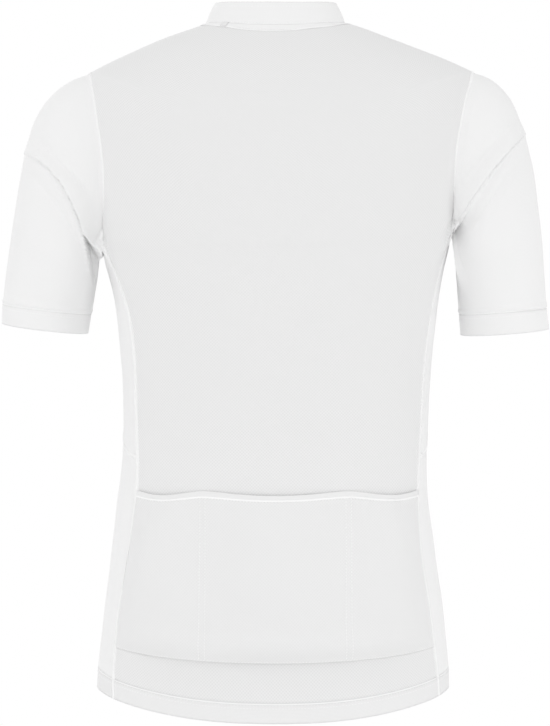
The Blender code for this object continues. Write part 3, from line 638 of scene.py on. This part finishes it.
def zip_wave(points):
    """The zip is stiffer than the cloth, so the fronts ripple gently along it."""
    x, y, z = np.moveaxis(points, -1, 0)
    in_front = (y < 0) * ramp(-z, 120, 180)
    return in_front * 0.9 * np.sin(z / 12.5 + 0.8 * np.sin(z / 47)) * np.exp(-(x / 26) ** 2)


def body_relief(points):
    """Folds, softness and ripples of everything round the body."""
    behind = np.clip(points[..., 1] / 45, -1, 1)
    fade = np.clip((points[..., 2] - HEM_EDGE + 20) / 60, 0.25, 1)
    return (fold_relief(points, BODY_FOLDS, behind) + softness(points) * fade + zip_wave(points))


def edge_profile(distance, kind):
    """The cloth's shape beside a seam, by the distance from it."""
    if kind == "flatlock":
        return -0.35 * np.exp(-((distance - 5.0) / 2.6) ** 2)
    if kind == "rolled":
        return 0.9 * np.exp(-((distance - 3.2) / 2.2) ** 2) - 0.3 * np.exp(-(distance / 1.2) ** 2)
    return -0.3 * np.exp(-((distance - 3.5) / 2.5) ** 2)


def distances(grid, edge):
    """How far each point lies from one edge of its grid."""
    axis = 1 if edge in ("left", "right") else 0
    steps = np.diff(grid, axis=axis, prepend=np.take(grid, [0], axis))
    way = np.cumsum(np.linalg.norm(steps, axis=2), axis=axis)
    return way if edge in ("left", "first") else np.take(way, [-1], axis) - way


# ---- materials

def linear(hexes):
    """An sRGB hex colour as linear red, green, blue and alpha."""
    parts = [int(hexes[i:i + 2], 16) / 255 for i in (0, 2, 4)]
    return [p / 12.92 if p <= 0.04045 else ((p + 0.055) / 1.055) ** 2.4 for p in parts] + [1.0]


def add_node(tree, kind, inputs=None, links=None, **fields):
    """Adds a node with its fields, its inputs' values and the sockets that feed them."""
    made = tree.nodes.new(kind)
    for field, value in fields.items():
        setattr(made, field, value)
    for socket, value in (inputs or {}).items():
        made.inputs[socket].default_value = value
    for socket, source in (links or {}).items():
        tree.links.new(source, made.inputs[socket])
    return made


def start_material(name, **inputs):
    """A new material with its tree and its Principled shader, set by the shader's own sockets."""
    made = bpy.data.materials.new(name)
    made.use_nodes = True
    shader = made.node_tree.nodes["Principled BSDF"]
    for socket, value in inputs.items():
        shader.inputs[socket.replace("_", " ")].default_value = value
    return made, made.node_tree, shader


def shaded(name, height, dark, light, span=(0, 1), bump=None, **inputs):
    """A material whose height field tints it from dark to light and can raise its surface. On knits
    and weaves the dark end is painted shade in the hollows of loops and ribs.
    """
    made, tree, shader = start_material(name, **inputs)
    field = height(tree)
    # The height sets the base colour: painted shade in a knit's or weave's hollows, an uneven tone on
    # thread, coil and lacquer.
    tint = add_node(tree, "ShaderNodeValToRGB", links={"Fac": field.outputs[0]})
    for stop, place, shade in zip(tint.color_ramp.elements, span, (dark, light)):
        stop.color = linear(shade)
        stop.position = place
    tree.links.new(tint.outputs["Color"], shader.inputs["Base Color"])
    if bump:
        raised = add_node(tree, "ShaderNodeBump", {"Strength": bump[0], "Distance": bump[1] * MM},
                          {"Height": field.outputs[0]})
        tree.links.new(raised.outputs["Normal"], shader.inputs["Normal"])
    return made


def loops(repeat, one, two, mixing):
    """The height of a knit's loops, from 0 to 1: two waves that are multiplied or added.

    repeat is the knit's repeat across and along the cut cloth in millimetres, and one and two are
    the waves' turns across and along it.
    """
    def height(tree):
        cut = add_node(tree, "ShaderNodeUVMap", uv_map="Knit")
        place = add_node(tree, "ShaderNodeMapping", {"Scale": (*(1 / (MM * r) for r in repeat), 1)},
                         {"Vector": cut.outputs["UV"]})
        waves = []
        for turns in (one, two):
            line = add_node(tree, "ShaderNodeVectorMath", {1: (*(2 * math.pi * n for n in turns), 0)},
                            {0: place.outputs[0]}, operation="DOT_PRODUCT")
            waves.append(add_node(tree, "ShaderNodeMath", links={0: line.outputs["Value"]},
                                  operation="SINE").outputs[0])
        both = add_node(tree, "ShaderNodeMath", links=dict(enumerate(waves)), operation=mixing)
        half = 0.5 if mixing == "MULTIPLY" else 0.25
        return add_node(tree, "ShaderNodeMath", {1: half, 2: 0.5}, {0: both.outputs[0]},
                        operation="MULTIPLY_ADD")
    return height


def specks(scale, detail):
    """A fine even unevenness."""
    return lambda tree: add_node(tree, "ShaderNodeTexNoise", {"Scale": scale, "Detail": detail})


def knit(name, height, dark, light, depth_mm, roughness=0.82, sheen=0.12):
    """A white polyester cloth, rough and with a faint sheen, with painted shade in the hollows of its
    loops.
    """
    return shaded(name, height, dark, light, (0.1, 0.7), (0.6, depth_mm), Roughness=roughness,
                  Sheen_Weight=sheen, Sheen_Roughness=0.45, IOR=1.5, Specular_IOR_Level=0.25)


# Bird's-eye mesh: its holes lie on two slanting lines, and painted shade in them makes it duller than
# a plain knit. Real ones are 1 mm apart, drawn at 2.3 mm.
MESH = loops((3.2, 3.2), (1, 0), (0, 1), "MULTIPLY")
FINISHES = {
    "mesh_knit": knit("birdseye_mesh_knit", MESH, "E6E6E6", "EEEEEE", 0.06),
    "pocket_knit": knit("fine_mesh_knit", MESH, "E9E9E9", "EDEDED", 0.035),
    # Interlock: fine upright wales crossed by courses, with painted shade between them. Real wales
    # are 0.5 mm, drawn at 1.1 mm.
    "smooth_knit": knit("interlock_knit", loops((1.1, 1.4), (1, 0), (0.5, 1), "ADD"),
                        "F0F0F0", "F5F5F5", 0.04),
    # Knitted elastic: ribs along the band, 1.3 mm apart, over fine picks, with painted shade between
    # the ribs.
    "elastic": knit("knitted_elastic", loops((1.2, 1.3), (0, 1), (1, 0.25), "ADD"),
                    "EAEAEA", "F0F0F0", 0.08),
    # Woven tape: a herringbone of 0.8 mm, drawn at 1.2 mm, with painted shade in its hollows.
    "zip_tape": knit("woven_zip_tape", loops((2.4, 1.2), (1, 0), (0.5, 1), "MULTIPLY"),
                     "EBEBEB", "F4F4F4", 0.08, 0.75, 0.05),
    # White lacquer on die-cast zinc: even, glossy, with faint orange peel.
    "zip_metal": shaded("white_lacquer", specks(700, 2), "EDEDED", "F4F4F4", bump=(0.15, 0.08),
                        Roughness=0.28, IOR=1.5, Coat_Weight=0.4, Coat_Roughness=0.1),
}
# Textured polyester sewing thread: soft, a little brighter than the cloth it lies on.
THREAD = shaded("polyester_thread", specks(900, 2), "F9F9F9", "FDFDFD", Roughness=0.6,
                Sheen_Weight=0.1, IOR=1.5)
# Nylon coil of the zip: smooth drawn filament, slightly glossy and milky.
COIL = shaded("nylon_coil", specks(400, 1), "EAEAEA", "F4F4F4", Roughness=0.38, IOR=1.53)


# ---- making pieces

def piece_object(name, points, faces, material, body="garment"):
    """An object from points in millimetres, riding on a body."""
    mesh = bpy.data.meshes.new(name)
    mesh.from_pydata((points * MM).tolist(), [], faces)
    mesh.materials.append(material)
    mesh.shade_smooth()
    piece = bpy.data.objects.new(name, mesh)
    bpy.context.collection.objects.link(piece)
    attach(piece, body)
    return piece


def grid_quads(rows, columns, closed, flip):
    """The faces of a grid, as corner numbers."""
    i, j = np.meshgrid(np.arange(rows - 1), np.arange(columns if closed else columns - 1),
                       indexing="ij")
    k = (j + 1) % columns
    quads = np.stack((i * columns + j, i * columns + k, (i + 1) * columns + k,
                      (i + 1) * columns + j), axis=-1).reshape(-1, 4)
    return quads[:, ::-1] if flip else quads


def knit_map(piece, grid, quads, closed):
    """A map of the cut cloth in metres: across from the middle, and along from the first row."""
    columns = grid.shape[1]
    across = distances(grid, "left")
    across -= across[:, columns // 2][:, None]
    along = distances(grid, "first").mean(axis=1)
    flat = quads.reshape(-1)
    u, v = across.reshape(-1)[flat], along[flat // columns]
    if closed:
        turn = np.linalg.norm(grid[:, 0] - grid[:, -1], axis=1) + across[:, -1]
        last = (flat % columns == 0) & np.repeat((quads % columns == columns - 1).any(axis=1), 4)
        u = np.where(last, turn[flat // columns], u)
    layer = piece.data.uv_layers.new(name="Knit")
    layer.uv.foreach_set("vector", (np.stack((u, v), axis=1) * MM).astype(np.float32).ravel())


PIECES = {}


def make_wall(piece, thick, offset):
    """Gives a sheet its thickness in millimetres, inwards (-1) or to both sides (0)."""
    wall = piece.modifiers.new("wall", "SOLIDIFY")
    wall.thickness = thick * MM
    wall.offset = offset
    wall.use_rim = True


def cloth_piece(node, grid, slot, relief=None, seams=(), thick=SHELL, raised=CLOTH / 2,
                middle=None, draw=None):
    """A thin shell on a node's form: its grid with relief and seam profiles, made thick inwards.

    A piece with a middle line of its own is closed, as a sleeve is.
    """
    grid = np.array(grid)
    closed = middle is not None
    middle = middle if closed else around_body(grid)
    out = relief(grid) if relief else np.zeros(grid.shape[:2])
    for edge, kind in seams:
        out = out + edge_profile(distances(grid, edge), kind)
    grid = grid + grid_normals(grid, closed, middle) * (out + raised)[..., None]
    if draw:
        grid = draw(grid)
    normals = grid_normals(grid, closed, middle)
    across, along = grid[0, 1] - grid[0, 0], grid[1, 0] - grid[0, 0]
    flip = np.cross(across, along).dot(normals[0, 0]) < 0
    quads = grid_quads(*grid.shape[:2], closed, flip)
    piece = piece_object(node + "_cloth", grid.reshape(-1, 3), quads.tolist(), FINISHES[slot])
    knit_map(piece, grid, quads, closed)
    make_wall(piece, thick, -1)
    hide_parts(node)
    PIECES[node] = SimpleNamespace(piece=piece, grid=grid, normals=normals, closed=closed)
    return piece


def sampled(values, way, at):
    """A line's values at distances along it."""
    return np.stack([np.interp(at, way, values[:, k]) for k in range(3)], axis=-1)


def line_at(node, edge, inset):
    """A line on a piece's face at a distance from one edge: points, outward and inward directions."""
    made = PIECES[node]
    grid, normals = made.grid, made.normals
    if edge in ("left", "right"):
        grid, normals = grid.transpose(1, 0, 2), normals.transpose(1, 0, 2)
    if edge in ("right", "last"):
        grid, normals = grid[::-1], normals[::-1]
    way = distances(grid, "first")
    points, outs = (np.array([sampled(values[:, j], way[:, j], inset)
                              for j in range(grid.shape[1])]) for values in (grid, normals))
    if made.closed and edge in ("first", "last"):
        points, outs = np.vstack((points, points[:1])), np.vstack((outs, outs[:1]))
    return points, outs


def rims(others, field):
    """The outer rows and columns of some pieces' points or directions."""
    grids = [getattr(PIECES[other], field) for other in others]
    return np.vstack([line for g in grids for line in (g[0], g[-1], g[:, 0], g[:, -1])])


def seam_line(node, edge, others, span=slice(None)):
    """The line where an edge meets other pieces: the mean of both faces and directions."""
    points, outs = line_at(node, edge, 0)
    others_at, others_out = rims(others, "grid"), rims(others, "normals")
    nearest = ((points[:, None] - others_at) ** 2).sum(axis=2).argmin(axis=1)
    near = np.linalg.norm(points - others_at[nearest], axis=1)[:, None] < 4
    points = np.where(near, (points + others_at[nearest]) / 2, points)
    outs = np.where(near, outs + others_out[nearest], outs)
    outs /= np.linalg.norm(outs, axis=1, keepdims=True)
    return points[span], outs[span]


def spaced(points, outs, pitch, begin=0, ends=False):
    """A line's points at even steps, with outward and forward directions."""
    way = np.concatenate(([0], np.cumsum(np.linalg.norm(np.diff(points, axis=0), axis=1))))
    count = max(int((way[-1] - begin) / pitch), 1)
    at = begin + (np.arange(count) + 0.5) * (way[-1] - begin) / count
    if ends:
        at = np.linspace(0, way[-1], count + 1)
    up = sampled(outs, way, at)
    ahead = sampled(points, way, at + 0.5) - sampled(points, way, at - 0.5)
    ahead /= np.linalg.norm(ahead, axis=1, keepdims=True) + 1e-12
    up -= (up * ahead).sum(axis=1, keepdims=True) * ahead
    up /= np.linalg.norm(up, axis=1, keepdims=True) + 1e-12
    return sampled(points, way, at), up, ahead


def threads(centres, ups, alongs, length, width, rise=0.12):
    """Points and faces of many short threads, each a tapered bead with five sides."""
    asides = np.cross(ups, alongs)
    ends = np.array((-0.5, 0, 0.5))[:, None, None] * length
    girth = np.array((0.45, 1, 0.45))[:, None, None] * width / 2
    lift = np.array((-0.2, rise, -0.2))[:, None, None]
    angles = np.radians(18 + 72 * np.arange(5))[:, None]
    centres, ups, alongs, asides = (v[:, None, None] for v in (centres, ups, alongs, asides))
    points = (centres + alongs * ends + asides * girth * np.cos(angles)
              + ups * (girth * np.sin(angles) + lift))
    one = [(ring + k, ring + (k + 1) % 5, ring + 5 + (k + 1) % 5, ring + 5 + k)
           for ring in (0, 5) for k in range(5)] + [(4, 3, 2, 1, 0), (10, 11, 12, 13, 14)]
    return points.reshape(-1, 3), [tuple(15 * i + k for k in face)
                                   for i in range(len(centres)) for face in one]


def thread_object(name, groups, material=THREAD):
    """One object from several groups of threads."""
    points, faces, start = [], [], 0
    for some, quads in groups:
        points.append(some)
        faces += [tuple(k + start for k in face) for face in quads]
        start += len(some)
    piece_object(name, np.vstack(points), faces, material)


def stitch_row(node, edge, inset):
    """A row of stitches along an edge of a piece."""
    centres, ups, ahead = spaced(*line_at(node, edge, inset), STITCH_PITCH)
    return threads(centres, ups, ahead, STITCH_LENGTH, STITCH_WIDTH)


def seam_band(points, outs, width, height, drop=None):
    """The low rounded ridge that the overlapping cloth makes along a seam."""
    drop = 0.45 * height if drop is None else drop
    centres, ups, ahead = spaced(points, outs, SEAM_STEP, ends=True)
    asides = np.cross(ups, ahead)
    profile = ((-0.5, -drop), (-0.34, 0.75 * height), (0.0, height), (0.34, 0.75 * height),
               (0.5, -drop))
    rows = np.stack([centres + asides * across * width + ups * rise
                     for across, rise in profile], axis=1)
    return rows.reshape(-1, 3), [tuple(q) for q in
                                 grid_quads(len(centres), len(profile), False, True).tolist()]


def joint(node, edge, others, width, height, drop=None):
    """The low step of cloth that closes the joint under a coverstitch."""
    return seam_band(*seam_line(node, edge, others), width, height, drop)


def flatlock(node, edge, others, width=3.6, height=0.5, span=slice(None)):
    """A flatlock seam: its ridge, and cover threads that cross it slanting to and fro."""
    line = seam_line(node, edge, others, span)
    centres, ups, ahead = spaced(*line, FLATLOCK_PITCH)
    asides = np.cross(ups, ahead)
    slant = np.where(np.arange(len(centres)) % 2 == 0, 0.45, -0.45)[:, None]
    along = asides + ahead * slant
    along /= np.linalg.norm(along, axis=1, keepdims=True)
    return [seam_band(*line, width + 1, height),
            threads(centres + ups * height, ups, along, width, 0.5),
            *(threads(centres + asides * shift + ups * height * 0.6, ups, ahead,
                      FLATLOCK_PITCH * 1.1, STITCH_WIDTH) for shift in (-width / 2, width / 2))]


# ---- the pieces

def around_body(grid):
    """The body's middle line, level with each point of a grid."""
    return grid * np.array((0.0, 0.0, 1.0))


def sleeve_middle(grid):
    """A sleeve's middle line, level with each point of its grid."""
    return np.repeat(grid.mean(axis=1)[:, None], grid.shape[1], axis=1)


def tuck(points, keys):
    """How the cloth below the pockets draws in towards the hem, by the rows' side heights."""
    down = ramp(-np.array(keys), -POCKET_BOTTOM - 2, -POCKET_BOTTOM + 46)[:, None]
    middle = np.clip(1 - (points[..., 0] / 153) ** 4, 0, 1)
    return -TUCK * middle * np.sin(math.pi * down ** 0.75 / 1.3) ** 0.9 * (points[..., 1] > 0)


def make_body():
    """Back, fronts, inserts and hem bands."""
    rows = panel_rows()
    hems = [(z, body_row(z)) for z in HEM]
    back = smooth_rows(np.array([back_line(line, row_edge(kind, key, line, 1, 1),
                                           row_edge(kind, key, line, -1, 1))
                                 for kind, key, line in rows]))
    keys = [key if kind == "low" else 0 for kind, key, _ in rows]
    made = cloth_piece("back_panel", back, "mesh_knit",
                       lambda points: body_relief(points) + tuck(points, keys),
                       (("left", "flatlock"), ("right", "flatlock")), draw=armpit_web)
    hem = [back_line(line, seam_angle(z, 1), seam_angle(z, -1)) for z, line in hems]
    made = cloth_piece("hem_back", hem, "elastic",
                       lambda points: body_relief(points) + tuck(points, HEM), **HEM_BAND)
    for side, name in ((1, "left"), (-1, "right")):
        front = smooth_rows(np.array([front_line(line, side, row_edge(kind, key, line, side, -1))
                                      for kind, key, line in rows]))
        made = cloth_piece("front_" + name, front, "smooth_knit", body_relief,
                           (("left", "flatlock"),), draw=armpit_web)
        insert = [insert_line(z, side) for z in INSERT]
        made = cloth_piece("underarm_" + name, insert, "smooth_knit", body_relief,
                           (("right", "flatlock"),), draw=armpit_web)
        hem = [front_line(line, side, seam_angle(z, side)) for z, line in hems]
        made = cloth_piece("hem_front_" + name, hem, "elastic", body_relief, **HEM_BAND)


def make_sleeves():
    """Sleeves with their drag folds, and cuffs."""
    for side, name in ((1, "left"), (-1, "right")):
        loop = armhole_loop(side)
        sleeve = np.array([sleeve_ring(side, way, loop) for way in SLEEVE_WAYS])
        middle = sleeve_middle(sleeve)
        fade = np.clip(np.minimum(SLEEVE_WAYS / 0.3, (8 - SLEEVE_WAYS) / 0.7), 0, 1)[:, None]

        def relief(points):
            behind = np.clip((points - middle)[..., 1] / 38, -1, 1)
            return (fold_relief(points, SLEEVE_FOLDS[side], behind) + softness(points, 0.25)) * fade

        made = cloth_piece("sleeve_" + name, sleeve, "smooth_knit", relief,
                           (("first", "flatlock"), ("last", "rolled")), middle=middle,
                           draw=lambda points: armpit_web(points, True))
        cuff = np.array([sleeve_ring(side, way, loop) for way in np.linspace(8, 9, 12)])
        made = cloth_piece("cuff_" + name, cuff, "smooth_knit", lambda points: softness(points, 0.15),
                           thick=BAND, raised=CLOTH / 2 + 0.1, middle=sleeve_middle(cuff))


def make_neck():
    """Neck band and collar."""
    low, high = (np.array(neck_line(line)) for line in (shoulder_row(0), collar_row(0)))
    band = [low + (high - low) * t for t in np.linspace(0, 1, 6)]
    made = cloth_piece("neck_band", band, "smooth_knit", lambda points: softness(points, 0.1),
                       thick=1.0, raised=CLOTH / 2 + 0.1)
    collar = [neck_line(collar_row(way)) for way in COLLAR_WAYS]
    made = cloth_piece("collar", collar, "smooth_knit", lambda points: softness(points, 0.3),
                       thick=1.6)
    make_overlap()


def make_overlap():
    """The short end of the neck band, lapped over itself beside the middle of the back."""
    made = PIECES["neck_band"]
    line = made.grid[2]
    columns = np.nonzero((np.abs(line[:, 0] - OVERLAP_X) < OVERLAP_HALF) & (line[:, 1] > 0))[0]
    patch = (made.grid + made.normals * 0.45)[:, columns]
    quads = grid_quads(*patch.shape[:2], False, False)
    piece = piece_object("neck_band_overlap", patch.reshape(-1, 3), quads.tolist(),
                         FINISHES["elastic"])
    knit_map(piece, patch, quads, False)
    make_wall(piece, 0.5, 0)


def pocket_swell(place):
    """How freely the pocket cloth stands off, by the place along the row."""
    share = np.abs(place)
    middle = np.sin(math.pi / 2 * ramp(-share, DIVIDER_HALF - 0.5, 0)) ** 1.4
    side = np.sin(math.pi * ramp(share, 0.5 + DIVIDER_HALF, 1)) ** 1.3
    return np.maximum(np.where(share < 0.5, middle, side), 0)


def pocket_point(z, place):
    """A point of the back's surface under the pocket cloth."""
    line = body_row(z)
    side = 1 if place < 0 else -1
    divider = oval_angle(DIVIDER_X, line.sides[side].back_width)
    share = abs(place)
    if share >= 0.5:
        angle = divider + (seam_angle(z, side) - divider) * (share - 0.5) * 2
    else:
        angle = 90 + (divider - 90) * share * 2
    return row_point(line, side, angle)


def make_pockets():
    """The pocket panel, gaping at its mouths, and its elastic band."""
    swell = pocket_swell(POCKET_PLACES)
    way_up = (POCKET_HEIGHTS - POCKET_BOTTOM) / (POCKET_MOUTH - POCKET_BOTTOM)
    base = np.array([[pocket_point(z - MOUTH_DIP * s * t ** 4, place)
                      for place, s in zip(POCKET_PLACES, swell)]
                     for z, t in zip(POCKET_HEIGHTS, way_up)])
    normals = grid_normals(base, False, around_body(base))
    bulge = np.sin(math.pi / 2 * np.minimum(way_up * 1.25, 1)) ** 0.8
    pull = 1 - MOUTH_PULL * ramp(POCKET_HEIGHTS, *MOUTH_PULLED) ** 1.5
    from_side = (1 - np.abs(POCKET_PLACES)) * HALF_BACK
    lift = SEAM_LIFT + (POCKET_STAND_OFF - SEAM_LIFT) * (1 - np.exp(-(from_side / 5) ** 2))
    above = (POCKET_HEIGHTS - POCKET_BOTTOM)[:, None]
    hold = np.exp(-(above / 5) ** 2)
    belly = np.clip(1 - (np.abs(POCKET_PLACES) / 0.95) ** 3, 0, 1)
    belly = belly * np.exp(-((above - 13) / 9) ** 2)
    out = (lift + POCKET_GAPE * swell * (bulge * pull)[:, None] - (lift - SEAM_LIFT) * hold
           + POCKET_BELLY * belly)
    below = (POCKET_BAND_END - POCKET_HEIGHTS)[:, None]
    for x, width, reach, rise in POCKET_GATHERS:
        out += (rise * np.exp(-((base[..., 0] - x) / width) ** 2)
                * np.exp(-(np.maximum(below, 0) / reach) ** 2) * (below > -2))
    out += softness(base, 0.5) * (1 - hold) + body_relief(base) * hold
    whole = base + normals * out[..., None]
    made = cloth_piece("pocket_panel", whole[:1 - BAND_ROWS], "pocket_knit")
    made = cloth_piece("pocket_band", whole[-BAND_ROWS:], "elastic", thick=BAND)


def make_zip():
    """Tapes with two interlocking coils, and the lacquered slider and pull."""
    rows = [body_row(z) for z in HEM[:-1]] + [line for _, _, line in panel_rows()]
    rows += [collar_row(way) for way in COLLAR_WAYS]
    groups = []
    for side, name in ((1, "left"), (-1, "right")):
        places = np.linspace(ZIP_GAP, ZIP_HALF_WIDTH, 8)
        made = cloth_piece("zip_tape_" + name, [zip_line(line, side, places) for line in rows],
                           "zip_tape", body_relief, (("right", "groove"),), 0.7, CLOTH / 2 - 0.25)
        centres, ups, ahead = spaced(*line_at("zip_tape_" + name, "left", 1.05), COIL_PITCH)
        centres = centres + ahead * side * COIL_PITCH / 4 + ups * 0.55
        groups.append(threads(centres, ups, np.cross(ups, ahead), COIL_WIDTH, COIL_WIRE, 0.1))
    thread_object("zip_coils", groups, COIL)
    for node in ("zip_slider", "zip_pull"):
        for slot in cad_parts[node].material_slots:
            slot.material = FINISHES["zip_metal"]


def make_stitches():
    """Flatlock seams, coverstitched bands and topstitching."""
    to_armpit = slice(0, len(LOWER) + len(INSERT))
    to_neck = slice(len(LOWER) + len(INSERT) + len(TURNS) - 2, None)
    for name in ("left", "right"):
        front, insert, sleeve, cuff = (part + name for part in
                                       ("front_", "underarm_", "sleeve_", "cuff_"))
        for seam, groups in (
                ("armhole_seam_", flatlock(sleeve, "first", ("back_panel", front, insert))),
                ("side_seam_", flatlock("back_panel", name, (front, insert), span=to_armpit)),
                ("insert_seam_", flatlock(insert, "left", (front,), 3.2, 0.3)
                 + flatlock(insert, "first", (front,), 3.2, 0.3)),
                ("shoulder_seam_", flatlock("back_panel", name, (front,), 2.6, 0.3, to_neck)),
                ("cuff_stitches_", [stitch_row(sleeve, "last", 1.0), stitch_row(cuff, "first", 4.0),
                                    joint(cuff, "first", (sleeve,), 2.0, 0.02, 0.3)]),
                ("zip_stitches_", [stitch_row(front, "right", 1.6)])):
            thread_object(seam + name, groups)
    for name in ("left", "right"):
        thread_object("pocket_seam_" + name,
                      flatlock("pocket_panel", name, ("front_" + name,), 2.4)
                      + [joint("hem_back", name, ("hem_front_" + name,), 3.0, 0.4)])
    hems = (("hem_back", "back_panel"), ("hem_front_left", "front_left"),
            ("hem_front_right", "front_right"))
    thread_object("hem_stitches", [stitch_row(hem, "last", inset) for hem, _ in hems
                                   for inset in (0.9, 3.7)]
                  + [joint(hem, "last", (panel,), 2.4, 0.02) for hem, panel in hems])
    thread_object("neck_stitches", [
        stitch_row("neck_band", "first", 1.0), stitch_row("collar", "first", 1.6),
        stitch_row("collar", "last", 5.0),
        joint("neck_band", "first", ("back_panel", "front_left", "front_right"), 2.6, 0.08),
        joint("neck_band", "last", ("collar",), 2.0, 0.05)])
    thread_object("pocket_stitches", [
        stitch_row("pocket_panel", "last", 1.2), stitch_row("pocket_panel", "first", 1.6),
        joint("pocket_band", "first", ("pocket_panel",), 1.8, 0.15), *divider_stitches()])


def divider_stitches():
    """Two rows of stitches down each divider."""
    made = PIECES["pocket_panel"]
    for column in DIVIDER_COLUMNS:
        centres, ups, ahead = spaced(made.grid[:, column], made.normals[:, column], STITCH_PITCH, 2)
        yield threads(centres, ups, ahead, STITCH_LENGTH, DIVIDER_STITCH_WIDTH)


# ---- stage, light and camera

FLOOR_HEIGHT = -0.95
FLOOR_RADIUS = 1.9
FLOOR_CORNERS = 96
SIDES = 0.73               # light of the surround from the sides and below, and from above
SKY = 0.87
LIT_POINT = (0, 0, -0.32)
LIGHTS = (
    ("high_left", (1.6, 1.6, 1.9), 1.0, 9.0),
    ("right_side", (-2.7, 1.0, -0.2), 1.4, 9.0),
    ("left_side", (2.7, 1.0, -0.2), 1.4, 2.4),
    ("low_left", (1.7, 2.2, -0.75), 0.8, 5.6),
    ("low_right", (-1.7, 2.2, -0.75), 0.8, 4.8),
    ("front_key", (1.2, -2.8, 0.5), 1.6, 13.0),
)


def area_light(name, place, size, watts):
    """A square soft light that looks at the jersey. Places are in metres."""
    lamp = bpy.data.lights.new(name, "AREA")
    lamp.size = size
    lamp.energy = watts
    light = bpy.data.objects.new(name, lamp)
    light.location = place
    light.rotation_euler = (Vector(LIT_POINT) - Vector(place)).to_track_quat("-Z", "Y").to_euler()
    bpy.context.collection.objects.link(light)


def make_stage():
    """A round pale floor, an even white surround, soft lights and the camera."""
    mesh = bpy.data.meshes.new("floor")
    turns = [2 * math.pi * i / FLOOR_CORNERS for i in range(FLOOR_CORNERS)]
    mesh.from_pydata([(FLOOR_RADIUS * math.cos(t), FLOOR_RADIUS * math.sin(t), FLOOR_HEIGHT)
                      for t in turns], [], [tuple(range(FLOOR_CORNERS))])
    floor = bpy.data.objects.new("floor", mesh)
    paint, _, _ = start_material("pale_floor", Roughness=0.9, Base_Color=linear("F6F6F6"))
    mesh.materials.append(paint)
    bpy.context.collection.objects.link(floor)
    world = bpy.data.worlds.new("surround")
    world.use_nodes = True
    tree = world.node_tree
    seen = add_node(tree, "ShaderNodeBackground", {"Color": (1, 1, 1, 1), "Strength": 1.0})
    way = add_node(tree, "ShaderNodeTexCoord")
    parts = add_node(tree, "ShaderNodeSeparateXYZ", links={0: way.outputs["Generated"]})
    level = add_node(tree, "ShaderNodeMapRange", {"To Min": SIDES, "To Max": SKY},
                     {"Value": parts.outputs["Z"]})
    fill = add_node(tree, "ShaderNodeBackground", {"Color": (1, 1, 1, 1)},
                    {"Strength": level.outputs["Result"]})
    ray = add_node(tree, "ShaderNodeLightPath")
    both = add_node(tree, "ShaderNodeMixShader", links={
        "Fac": ray.outputs["Is Camera Ray"], 1: fill.outputs[0], 2: seen.outputs[0]})
    tree.links.new(both.outputs[0], tree.nodes["World Output"].inputs["Surface"])
    bpy.context.scene.world = world
    bpy.context.scene.view_settings.view_transform = "Standard"
    for light in LIGHTS:
        area_light(*light)
    camera = bpy.data.cameras.new("camera")
    camera.sensor_width = SENSOR
    camera.lens = SENSOR * CAMERA_DISTANCE / VIEW_HEIGHT
    eye = bpy.data.objects.new("camera", camera)
    eye.location = (0.0005, CAMERA_DISTANCE * MM, CAMERA_HEIGHT * MM)
    eye.rotation_euler = (math.radians(90), 0, math.radians(180))
    bpy.context.collection.objects.link(eye)
    bpy.context.scene.camera = eye


make_body()
make_sleeves()
make_neck()
make_pockets()
make_zip()
make_stitches()
make_stage()
